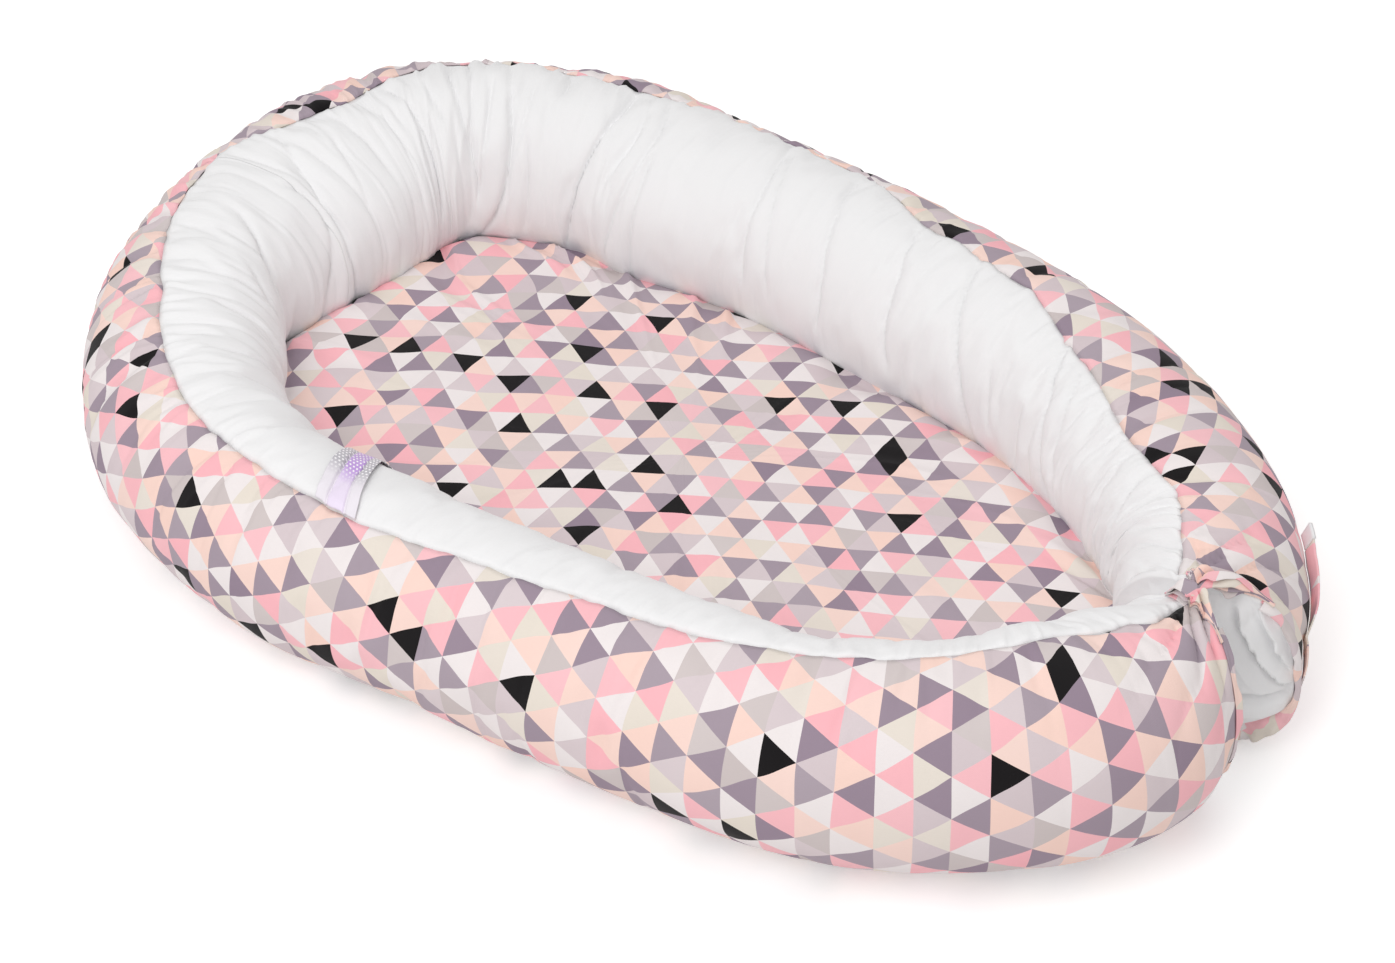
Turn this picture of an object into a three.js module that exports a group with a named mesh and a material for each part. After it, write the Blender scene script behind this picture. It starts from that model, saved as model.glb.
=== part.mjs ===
import * as THREE from 'three';

// An infant lounger: a stuffed roll bent round a flat mattress, open at the foot where its two ends meet.
// Millimetres. +X points to the foot, -Y to the near arm and +Z up. The origin is under the middle.

// Driving sizes of the whole
const overallLength = 900;
const overallWidth = 596;
const rollWidth = 137;
const rollHeight = 133;

// Cloth, filling and the gap between two pieces that touch
const clothThickness = 1.2;
const fillingEase = 2.5;
const touchGap = 0.3;
const seamGap = 0.5;

// Base and mattress
const baseThickness = 2;
const mattressEdgeHeight = 38;
const mattressCrown = 11;
const mattressDrawIn = 5;
const mattressTuck = 14;
const mattressWaveDepth = 1.6;

// Folds across the white inner cloth
const pleatDepth = 3.4;

// Arm ends at the foot
const capRim = 1.2;
const frontCapBulge = 4;
const frontCapFold = 3;
const backCapBulge = 6;
const backCapFold = 9;
const hemWidth = 6;
const hemThickness = 1.8;
const gatherWidth = 7;
const gatherFold = 4;
const gatherCloth = 1.4;
const flapLength = 102;
const flapStand = 7;
const flapThickness = 1.8;
const endTurnLength = 130;

// Satin ribbon over the near rim
const ribbonThickness = 0.8;

// Counts
const routeSamples = 900;
const armSteps = 22;
const headSteps = 68;
const outerSides = 6;
const innerSides = 8;
const mouthSides = 12;
const gatherSides = 3;
const flapSides = 10;
const gatherFolds = 5;
const ribbonSides = 3;

// Angles
const nearMouthAngle = THREE.MathUtils.degToRad(-28);
const farMouthAngle = THREE.MathUtils.degToRad(28);
const pinchAngle = THREE.MathUtils.degToRad(170);
const gatherStart = THREE.MathUtils.degToRad(52);
const gatherEnd = THREE.MathUtils.degToRad(98);
const flapTop = THREE.MathUtils.degToRad(16);
const flapFoot = THREE.MathUtils.degToRad(-12);
const underOutside = THREE.MathUtils.degToRad(-87);
const underInside = THREE.MathUtils.degToRad(267);
const sinkStart = THREE.MathUtils.degToRad(55);
const sinkEnd = THREE.MathUtils.degToRad(115);

// How far the base reaches under the outer half of the roll
const baseMarginShare = 0.33;

// Where the arms begin, and where the ribbon lies, as shares of the route
const frontArmShare = 0.2;
const backArmShare = 0.8;
const ribbonShare = 0.303;

// The centre line of the roll, from the near arm's end round the head to the far arm's end.
// Each row holds x and y as shares of the centre line's half length and half width, then the roll's
// width as a share of rollWidth.
const routeShares = [
  [1.0, -0.035, 1.12],
  [1.0, -0.24, 1.13],
  [0.93, -0.5, 1.14],
  [0.66, -0.82, 1.12],
  [0.35, -0.92, 1.06],
  [0.0, -0.96, 1.01],
  [-0.38, -1.0, 0.98],
  [-0.69, -0.85, 0.98],
  [-0.91, -0.46, 1.0],
  [-1.0, 0.09, 1.03],
  [-0.92, 0.64, 1.05],
  [-0.62, 0.955, 1.03],
  [-0.31, 1.0, 1.0],
  [0.0, 0.98, 1.0],
  [0.29, 0.92, 1.0],
  [0.53, 0.83, 0.98],
  [0.8, 0.59, 0.96],
  [0.93, 0.36, 0.94],
  [1.015, 0.045, 0.95],
];

// The seam between print and white: share of the route, then its angle above the outward side as a
// share of a half turn. It wanders over the crest as the cloth does.
const seamShares = [
  [0.0, 0.45],
  [0.018, 0.46],
  [0.032, 0.51],
  [0.05, 0.555],
  [0.07, 0.535],
  [0.11, 0.49],
  [0.18, 0.43],
  [0.27, 0.4],
  [0.34, 0.43],
  [0.42, 0.455],
  [0.495, 0.345],
  [0.55, 0.485],
  [0.6, 0.33],
  [0.655, 0.45],
  [0.7, 0.36],
  [0.74, 0.36],
  [0.79, 0.48],
  [0.83, 0.51],
  [0.87, 0.61],
  [0.91, 0.675],
  [0.96, 0.62],
  [1.0, 0.6],
];

// How the near arm's inner half is drawn in: share of the route, then the share that its width loses
const slimShares = [
  [0.0, 0.45],
  [0.03, 0.16],
  [0.06, 0.18],
  [0.095, 0.28],
  [0.13, 0.32],
  [0.17, 0.25],
  [0.21, 0.17],
  [0.25, 0.12],
  [0.29, 0.0],
];

// The same for its height over the crest and down its inner side
const sinkShares = [
  [0.0, 0.36],
  [0.03, 0.11],
  [0.06, 0.03],
  [0.095, 0.08],
  [0.13, 0.11],
  [0.17, 0.065],
  [0.21, 0.04],
  [0.25, 0.03],
  [0.29, 0.0],
];

// How deep the folds lie along the route: strongest at the head's corners and by the far arm's end
const pleatShares = [
  [0.0, 0.1],
  [0.3, 0.1],
  [0.36, 0.6],
  [0.42, 1.0],
  [0.5, 0.7],
  [0.58, 1.0],
  [0.66, 0.45],
  [0.84, 0.35],
  [0.9, 1.0],
  [1.0, 1.0],
];

// Rings of the mattress from its edge to its middle, as shares of the way in
const mattressRingShares = [0.07, 0.2, 0.42, 0.7];

const centreHalfLength = (overallLength - rollWidth) / 2;
const centreHalfWidth = (overallWidth - rollWidth) / 2;
const heightPerWidth = rollHeight / rollWidth;
const rollFloor = baseThickness + touchGap;

const smooth = (t) => t * t * (3 - 2 * t);
const direction = (angle) => new THREE.Vector2(Math.cos(angle), Math.sin(angle));

// Value at a share of the route, eased between the rows of a table
function along(rows, share) {
  const next = rows.findIndex((row) => row[0] >= share);
  if (next <= 0) return rows[next < 0 ? rows.length - 1 : 0][1];
  const [startShare, start] = rows[next - 1];
  const [endShare, end] = rows[next];
  return THREE.MathUtils.lerp(start, end, smooth((share - startShare) / (endShare - startShare)));
}

// The route as evenly measured samples: place, half width and length so far
function makeRoute() {
  const points = routeShares.map(
    ([x, y, width]) =>
      new THREE.Vector3(x * centreHalfLength, y * centreHalfWidth, (width * rollWidth) / 2),
  );
  const curve = new THREE.CatmullRomCurve3(points, false, 'centripetal');
  const samples = curve.getPoints(routeSamples);
  const lengths = [0];
  for (let i = 1; i < samples.length; i++) {
    const step = Math.hypot(samples[i].x - samples[i - 1].x, samples[i].y - samples[i - 1].y);
    lengths.push(lengths[i - 1] + step);
  }
  return { samples, lengths, total: lengths[lengths.length - 1] };
}

const route = makeRoute();

function routePoint(share) {
  const length = THREE.MathUtils.clamp(share, 0, 1) * route.total;
  let i = 1;
  while (i < route.lengths.length - 1 && route.lengths[i] < length) i++;
  const span = route.lengths[i] - route.lengths[i - 1];
  return route.samples[i - 1].clone().lerp(route.samples[i], (length - route.lengths[i - 1]) / span);
}

// Cross-section of the roll at a share of the route: centre, the sides its outer and inner halves point
// to, half width and half height. It is square to the route, and bends into a V by the two arm ends,
// whose inner halves are pinched together.
function section(share) {
  const slopeShare = 1 / routeSamples;
  const place = routePoint(share);
  const ahead = routePoint(share + slopeShare);
  const behind = routePoint(share - slopeShare);
  const square = new THREE.Vector2(behind.y - ahead.y, ahead.x - behind.x).normalize();
  const nearTurn = smooth(Math.max(0, 1 - (share * route.total) / endTurnLength));
  const farTurn = smooth(Math.max(0, 1 - ((1 - share) * route.total) / endTurnLength));
  const outward = square.clone().lerp(direction(nearMouthAngle), nearTurn);
  const inward = square.clone().negate().lerp(direction(pinchAngle), Math.max(nearTurn, farTurn));
  const halfWidth = place.z;
  return {
    share,
    centre: new THREE.Vector2(place.x, place.y),
    outward: outward.lerp(direction(farMouthAngle), farTurn).normalize(),
    inward: inward.normalize(),
    halfWidth,
    innerHalfWidth: halfWidth * (1 - along(slimShares, share)),
    halfHeight: halfWidth * heightPerWidth,
    sink: along(sinkShares, share),
  };
}

// Half height at an angle, less where the inner side is sunk. It is whole again on the underside.
function halfHeightAt(at, angle) {
  const over = THREE.MathUtils.smoothstep(angle, sinkStart, sinkEnd);
  return Math.sin(angle) > 0 ? at.halfHeight * (1 - at.sink * over) : at.halfHeight;
}

// A point of the roll, at an angle above the outward side and a depth below the cloth's outer face
function rollPoint(at, angle, depth) {
  const outside = Math.cos(angle) > 0;
  const side = outside ? at.outward : at.inward;
  const halfWidth = outside ? at.halfWidth : at.innerHalfWidth;
  const reach = (halfWidth - depth) * Math.abs(Math.cos(angle));
  const rise = at.halfHeight + (halfHeightAt(at, angle) - depth) * Math.sin(angle);
  return new THREE.Vector3(
    at.centre.x + side.x * reach,
    at.centre.y + side.y * reach,
    Math.max(rise, rollFloor + Math.max(depth, 0)),
  );
}

function steps(from, to, count) {
  return Array.from({ length: count + 1 }, (_, i) => from + ((to - from) * i) / count);
}

// Closed body through a row of loops with equal point counts; each end is zipped shut across the loop
function bodyFromLoops(loops) {
  const count = loops[0].length;
  const positions = loops.flat().flatMap((point) => [point.x, point.y, point.z]);
  const index = [];
  for (let i = 0; i < loops.length - 1; i++) {
    for (let j = 0; j < count; j++) {
      const a = i * count + j;
      const b = i * count + ((j + 1) % count);
      index.push(a, b, b + count, a, b + count, a + count);
    }
  }
  const last = (loops.length - 1) * count;
  for (let j = 0; j < Math.ceil(count / 2) - 1; j++) {
    const a = j;
    const b = j + 1;
    const c = count - 2 - j;
    const d = count - 1 - j;
    index.push(a, c, b, a, d, c);
    index.push(last + a, last + b, last + c, last + a, last + c, last + d);
  }
  return solid(positions, clean(index));
}

// Closed body through rings that run from one centre point to another
function bodyFromRings(start, rings, end) {
  const count = rings[0].length;
  const points = [start, ...rings.flat(), end];
  const positions = points.flatMap((point) => [point.x, point.y, point.z]);
  const index = [];
  const lastRing = 1 + (rings.length - 1) * count;
  for (let j = 0; j < count; j++) {
    const next = (j + 1) % count;
    index.push(0, 1 + next, 1 + j);
    index.push(points.length - 1, lastRing + j, lastRing + next);
    for (let i = 0; i < rings.length - 1; i++) {
      const a = 1 + i * count + j;
      const b = 1 + i * count + next;
      index.push(a, b, b + count, a, b + count, a + count);
    }
  }
  return solid(positions, index);
}

function clean(index) {
  const kept = [];
  for (let i = 0; i < index.length; i += 3) {
    const [a, b, c] = index.slice(i, i + 3);
    if (a !== b && b !== c && c !== a) kept.push(a, b, c);
  }
  return kept;
}

// Geometry from positions and triangles, turned so that its faces point out
function solid(positions, index) {
  let volume = 0;
  const corner = (i) => new THREE.Vector3().fromArray(positions, 3 * i);
  for (let i = 0; i < index.length; i += 3) {
    const [a, b, c] = index.slice(i, i + 3).map(corner);
    volume += a.dot(b.cross(c));
  }
  const faces = volume < 0 ? [...index].reverse() : index;
  const geometry = new THREE.BufferGeometry();
  geometry.setAttribute('position', new THREE.Float32BufferAttribute(positions, 3));
  geometry.setIndex(faces);
  geometry.computeVertexNormals();
  return geometry;
}

const cottonWhite = { color: 0xebebec, roughness: 0.9 };
const cottonPrint = { color: 0xd9c3c8, roughness: 0.9 };
const wadding = { color: 0xf2f0ea, roughness: 1 };
const satin = { color: 0xcfc8d8, roughness: 0.35 };

function piece(name, geometry, look) {
  const mesh = new THREE.Mesh(geometry, new THREE.MeshStandardMaterial({ metalness: 0, ...look }));
  mesh.name = name;
  return mesh;
}

// Roll

const seamAngle = (share) => along(seamShares, share) * Math.PI;
const seamHalfAngle = (at) => seamGap / 2 / at.halfHeight;

function pleat(at, angle, step) {
  const from = seamAngle(at.share);
  const across = THREE.MathUtils.clamp((angle - from) / (Math.PI - from), 0, 1);
  const ridge = step % 2;
  return -pleatDepth * ridge * along(pleatShares, at.share) * Math.sin(across * Math.PI);
}

// Two faces of a cloth strip on the roll, as one loop, between two angles
function clothLoop(at, from, to, sides, step) {
  const angles = steps(from, to, sides);
  const outer = angles.map((angle) => rollPoint(at, angle, pleat(at, angle, step)));
  const inner = angles.map((angle) => rollPoint(at, angle, clothThickness + pleat(at, angle, step)));
  return [...outer, ...inner.reverse()];
}

// Angles all round the roll, from under its outside over the seam to under its inside
function roundAngles(share, outsideCount, insideCount) {
  const outside = steps(underOutside, seamAngle(share), outsideCount);
  const inside = steps(seamAngle(share), underInside, insideCount);
  return [...outside, ...inside.slice(1)];
}

function fillingBody(from, to, count) {
  const loops = steps(from, to, count).map((share) => {
    const at = section(share);
    const angles = roundAngles(share, outerSides, innerSides);
    return angles.map((angle) => rollPoint(at, angle, clothThickness + fillingEase));
  });
  return bodyFromLoops(loops);
}

function outerCoverBody(from, to, count) {
  const loops = steps(from, to, count).map((share) => {
    const at = section(share);
    return clothLoop(at, underOutside, seamAngle(share) - seamHalfAngle(at), outerSides, 0);
  });
  return bodyFromLoops(loops);
}

function innerCoverBody(from, to, count) {
  const loops = steps(from, to, count).map((share, step) => {
    const at = section(share);
    return clothLoop(at, seamAngle(share) + seamHalfAngle(at), underInside, innerSides, step);
  });
  return bodyFromLoops(loops);
}

function rollPieces(name, from, to, count) {
  return [
    piece(`${name}_filling`, fillingBody(from, to, count), wadding),
    piece(`${name}_outer_cover`, outerCoverBody(from, to, count), cottonPrint),
    piece(`${name}_inner_cover`, innerCoverBody(from, to, count), cottonWhite),
  ];
}

// Arm ends. sign is -1 at the near arm's end, whose mouth looks back along the route, and 1 at the far one

function mouth(share, sign) {
  const at = section(share);
  const across = at.outward.clone().sub(at.inward).normalize();
  const out = new THREE.Vector2(-across.y, across.x).multiplyScalar(-sign);
  return { at, out };
}

function mouthPoint({ at, out }, angle, depth, stand) {
  const point = rollPoint(at, angle, depth);
  return point.add(new THREE.Vector3(out.x * stand, out.y * stand, 0));
}

// Angles round a mouth, with corners where the hem, the frill and the print end
function mouthAngles(share) {
  const hem = steps(underOutside, gatherStart, mouthSides);
  const gather = steps(gatherStart, seamAngle(share), gatherSides);
  const inside = steps(seamAngle(share), underInside, mouthSides);
  return [...hem, ...gather.slice(1), ...inside.slice(1)];
}

// Slack white cloth over an arm's stuffing, bulged, with one fold that slants down across it
function endCapBody(share, sign, bulge, fold) {
  const end = mouth(share, sign);
  const edgeDepth = hemThickness + touchGap;
  const angles = mouthAngles(share);
  const middle = (stand) => mouthPoint(end, 0, end.at.halfWidth, stand);
  const ring = (inShare, stand) =>
    angles.map((angle) => {
      const lifted = stand + fold * capFold(angle, inShare);
      return mouthPoint(end, angle, edgeDepth, lifted).lerp(middle(lifted), inShare);
    });
  const dome = (inShare) => touchGap + capRim + bulge * smooth(inShare);
  const rings = [ring(0, touchGap)];
  rings.push(ring(0, touchGap + capRim));
  for (const inShare of [0.3, 0.6]) rings.push(ring(inShare, dome(inShare)));
  return bodyFromRings(middle(touchGap), rings, middle(dome(1)));
}

// Rise of the fold as a share of its full height, highest on the outer half of the mouth
function capFold(angle, inShare) {
  const slant = Math.PI / 6;
  const across = Math.cos(angle - slant);
  return Math.max(0, across) ** 4 * Math.sin(Math.PI * inShare);
}

// Print cloth turned back at the mouth, from under the roll up to the frill
function hemBody(share, sign) {
  const end = mouth(share, sign);
  const angles = steps(underOutside, gatherStart, mouthSides);
  const loops = angles.map((angle) => [
    mouthPoint(end, angle, 0, touchGap),
    mouthPoint(end, angle, 0, hemWidth),
    mouthPoint(end, angle, hemThickness, hemWidth),
    mouthPoint(end, angle, hemThickness, touchGap),
  ]);
  return bodyFromLoops(loops);
}

// Gathered frill over the crest, where the mouth's cloth is drawn together like a fan
function gatherBody(share, sign) {
  const end = mouth(share, sign);
  const angles = steps(gatherStart + 2 * seamHalfAngle(end.at), gatherEnd, 2 * gatherFolds);
  const loops = angles.map((angle, i) => {
    const lift = gatherFold * (i % 2);
    return [
      mouthPoint(end, angle, 0, touchGap),
      mouthPoint(end, angle, -lift, gatherWidth),
      mouthPoint(end, angle, gatherCloth - lift, gatherWidth),
      mouthPoint(end, angle, gatherCloth, touchGap),
    ];
  });
  return bodyFromLoops(loops);
}

// Loose strip that stands off the far arm's outer side, from above its middle down to its mouth
function flapBody() {
  const loops = steps(0, 1, flapSides).map((t) => {
    const at = section(1 - (flapLength * (1 - t)) / route.total);
    const angle = THREE.MathUtils.lerp(flapTop, flapFoot, t);
    const half = flapThickness / 2 / at.halfHeight;
    const tip = touchGap + flapStand;
    return [
      rollPoint(at, angle - half, -touchGap),
      rollPoint(at, angle - half, -tip),
      rollPoint(at, angle + half, -tip),
      rollPoint(at, angle + half, -touchGap),
    ];
  });
  return bodyFromLoops(loops);
}

// Satin ribbon that lies from the seam over the near rim, on the flats of the white cloth
function ribbonBody() {
  const span = (backArmShare - frontArmShare) / headSteps;
  const first = Math.round((ribbonShare - frontArmShare) / span) - 1;
  const loops = [first, first + 1, first + 2].map((step) => {
    const at = section(frontArmShare + step * span);
    const from = seamAngle(at.share) + seamHalfAngle(at);
    const angles = steps(from, underInside, innerSides).slice(0, ribbonSides + 1);
    const low = angles.map((angle) => rollPoint(at, angle, pleat(at, angle, step) - touchGap));
    const high = angles.map((angle) =>
      rollPoint(at, angle, pleat(at, angle, step) - touchGap - ribbonThickness),
    );
    return [...high, ...low.reverse()];
  });
  return bodyFromLoops(loops);
}

// Base and mattress

const floorShares = steps(0, 1, armSteps + headSteps / 2);

function basePanelBody() {
  const shape = new THREE.Shape(
    floorShares.map((share) => {
      const at = section(share);
      return at.centre.clone().addScaledVector(at.outward, at.halfWidth * baseMarginShare);
    }),
  );
  return new THREE.ExtrudeGeometry(shape, { depth: baseThickness, bevelEnabled: false });
}

// Reach of the roll's inner side toward the mattress, at a height over the floor
function innerReach(at, height) {
  const rise = (height - at.halfHeight) / at.halfHeight;
  return at.innerHalfWidth * Math.sqrt(Math.max(0, 1 - rise * rise));
}

function mattressEdge(inset) {
  return floorShares.map((share) => {
    const at = section(share);
    const reach = innerReach(at, mattressEdgeHeight) + touchGap + inset;
    return at.centre.clone().addScaledVector(at.inward, reach);
  });
}

// Height of the mattress at a share of the way in, with its soft waves
function mattressTop(place, inShare) {
  const wave = Math.sin((3 * Math.PI * place.x) / centreHalfLength) *
    Math.cos((2 * Math.PI * place.y) / centreHalfWidth);
  const crown = mattressCrown * Math.sin((Math.PI / 2) * inShare);
  return mattressEdgeHeight + crown + mattressWaveDepth * wave * Math.sin(Math.PI * inShare);
}

function crownRing(edge, inShare, lower) {
  return edge.map((place) => {
    const at = place.clone().multiplyScalar(1 - inShare);
    return new THREE.Vector3(at.x, at.y, mattressTop(at, inShare) - lower);
  });
}

const crownRings = (edge, lower) => mattressRingShares.map((inShare) => crownRing(edge, inShare, lower));

function crownMiddle(lower) {
  const middle = new THREE.Vector2();
  return new THREE.Vector3(0, 0, mattressTop(middle, 1) - lower);
}

function levelRing(edge, height) {
  return edge.map((place) => new THREE.Vector3(place.x, place.y, height));
}

function mattressFillingBody() {
  const lower = clothThickness + touchGap;
  const coverEdge = mattressEdge(clothThickness);
  const edge = mattressEdge(clothThickness + touchGap);
  const rings = [
    ...crownRings(coverEdge, lower).reverse(),
    crownRing(edge, 0, lower),
    levelRing(edge, mattressEdgeHeight / 2),
    levelRing(mattressEdge(mattressDrawIn), rollFloor),
  ];
  return bodyFromRings(crownMiddle(lower), rings, new THREE.Vector3(0, 0, rollFloor));
}

function mattressCoverBody() {
  const outerEdge = mattressEdge(0);
  const innerEdge = mattressEdge(clothThickness);
  const hemHeight = mattressEdgeHeight - mattressTuck;
  const rings = [
    ...crownRings(innerEdge, clothThickness).reverse(),
    crownRing(innerEdge, 0, clothThickness),
    levelRing(innerEdge, hemHeight),
    levelRing(outerEdge, hemHeight),
    crownRing(outerEdge, 0, 0),
    ...crownRings(outerEdge, 0),
  ];
  return bodyFromRings(crownMiddle(clothThickness), rings, crownMiddle(0));
}

const jointGapShare = touchGap / route.total;

const lounger = new THREE.Group();
lounger.add(
  piece('base_panel', basePanelBody(), cottonPrint),
  piece('mattress_filling', mattressFillingBody(), wadding),
  piece('mattress_cover', mattressCoverBody(), cottonPrint),
  ...rollPieces('head', frontArmShare, backArmShare, headSteps),
  piece('label_ribbon', ribbonBody(), satin),
);

const frontArm = new THREE.Group();
frontArm.add(
  ...rollPieces('front_arm', 0, frontArmShare - jointGapShare, armSteps),
  piece('front_arm_end_cap', endCapBody(0, -1, frontCapBulge, frontCapFold), cottonWhite),
  piece('front_arm_hem', hemBody(0, -1), cottonPrint),
  piece('front_arm_gather', gatherBody(0, -1), cottonPrint),
);
lounger.add(frontArm);

const backArm = new THREE.Group();
backArm.add(
  ...rollPieces('back_arm', backArmShare + jointGapShare, 1, armSteps),
  piece('back_arm_end_cap', endCapBody(1, 1, backCapBulge, backCapFold), cottonWhite),
  piece('back_arm_hem', hemBody(1, 1), cottonPrint),
  piece('back_arm_gather', gatherBody(1, 1), cottonPrint),
  piece('back_arm_flap', flapBody(), cottonPrint),
);
lounger.add(backArm);

export default lounger;
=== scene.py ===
import math
from functools import partialmethod

import bmesh
import bpy
import numpy as np
from bpy.props import FloatProperty, FloatVectorProperty, PointerProperty
from mathutils import Matrix, Vector


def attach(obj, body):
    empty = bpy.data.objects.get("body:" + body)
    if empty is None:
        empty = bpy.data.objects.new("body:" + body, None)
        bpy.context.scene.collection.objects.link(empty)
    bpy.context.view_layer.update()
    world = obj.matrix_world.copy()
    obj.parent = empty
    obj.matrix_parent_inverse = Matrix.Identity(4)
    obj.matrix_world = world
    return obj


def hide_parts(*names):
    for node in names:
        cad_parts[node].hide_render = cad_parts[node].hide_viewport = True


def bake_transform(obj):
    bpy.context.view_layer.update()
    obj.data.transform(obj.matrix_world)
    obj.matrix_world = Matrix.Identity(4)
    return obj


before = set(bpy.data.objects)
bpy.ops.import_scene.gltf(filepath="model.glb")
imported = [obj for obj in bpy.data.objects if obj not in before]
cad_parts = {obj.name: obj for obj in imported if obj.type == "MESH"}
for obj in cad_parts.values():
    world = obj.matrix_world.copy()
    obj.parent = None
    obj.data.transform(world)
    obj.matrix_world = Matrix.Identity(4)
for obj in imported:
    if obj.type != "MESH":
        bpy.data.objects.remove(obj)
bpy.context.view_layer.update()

bl_info = {
    "name": "Infant lounger",
    "version": (1, 0, 0),
    "blender": (4, 5, 0),
    "location": "3D View > Sidebar > Lounger",
    "description": "Builds a stuffed cloth infant lounger round a padded mattress",
    "category": "Add Mesh",
}

MM = 0.001

# The route of the roll, as in the solids: x and y as shares of the centre line's half length and half
# width, then the roll's width as a share of its usual width
ROUTE_SHARES = [
    (1.0, -0.035, 1.12), (1.0, -0.24, 1.13), (0.93, -0.5, 1.14), (0.66, -0.82, 1.12), (0.35, -0.92, 1.06),
    (0.0, -0.96, 1.01), (-0.38, -1.0, 0.98), (-0.69, -0.85, 0.98), (-0.91, -0.46, 1.0), (-1.0, 0.09, 1.03),
    (-0.92, 0.64, 1.05), (-0.62, 0.955, 1.03), (-0.31, 1.0, 1.0), (0.0, 0.98, 1.0), (0.29, 0.92, 1.0),
    (0.53, 0.83, 0.98), (0.8, 0.59, 0.96), (0.93, 0.36, 0.94), (1.015, 0.045, 0.95),
]

# Where the print meets the white: share of the route, then angle as a share of a half turn
SEAM_SHARES = [
    (0.0, 0.45), (0.018, 0.46), (0.032, 0.51), (0.05, 0.555), (0.07, 0.535), (0.11, 0.49), (0.18, 0.43),
    (0.27, 0.4), (0.34, 0.43), (0.42, 0.455), (0.495, 0.345), (0.55, 0.485), (0.6, 0.33), (0.655, 0.415),
    (0.7, 0.325), (0.74, 0.34), (0.79, 0.48), (0.83, 0.51), (0.87, 0.61), (0.91, 0.675), (0.96, 0.62),
    (1.0, 0.6),
]

# How the near arm's inner half is drawn in: share of the route, then the share that its width loses
SLIM_SHARES = [
    (0.0, 0.45), (0.03, 0.16), (0.06, 0.18), (0.095, 0.28), (0.13, 0.32), (0.17, 0.25), (0.21, 0.17),
    (0.25, 0.12), (0.29, 0.0),
]

# The same for its height over the crest and down its inner side
SINK_SHARES = [
    (0.0, 0.36), (0.03, 0.11), (0.06, 0.03), (0.095, 0.08), (0.13, 0.11), (0.17, 0.065), (0.21, 0.04),
    (0.25, 0.03), (0.29, 0.0),
]

# How crowded the folds of the white cloth are along the route
FOLD_SHARES = [
    (0.0, 0.15), (0.3, 0.12), (0.35, 0.6), (0.42, 1.0), (0.49, 0.55), (0.56, 0.95), (0.64, 0.6),
    (0.7, 0.35), (0.84, 0.4), (0.9, 1.0), (1.0, 0.9),
]

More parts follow.
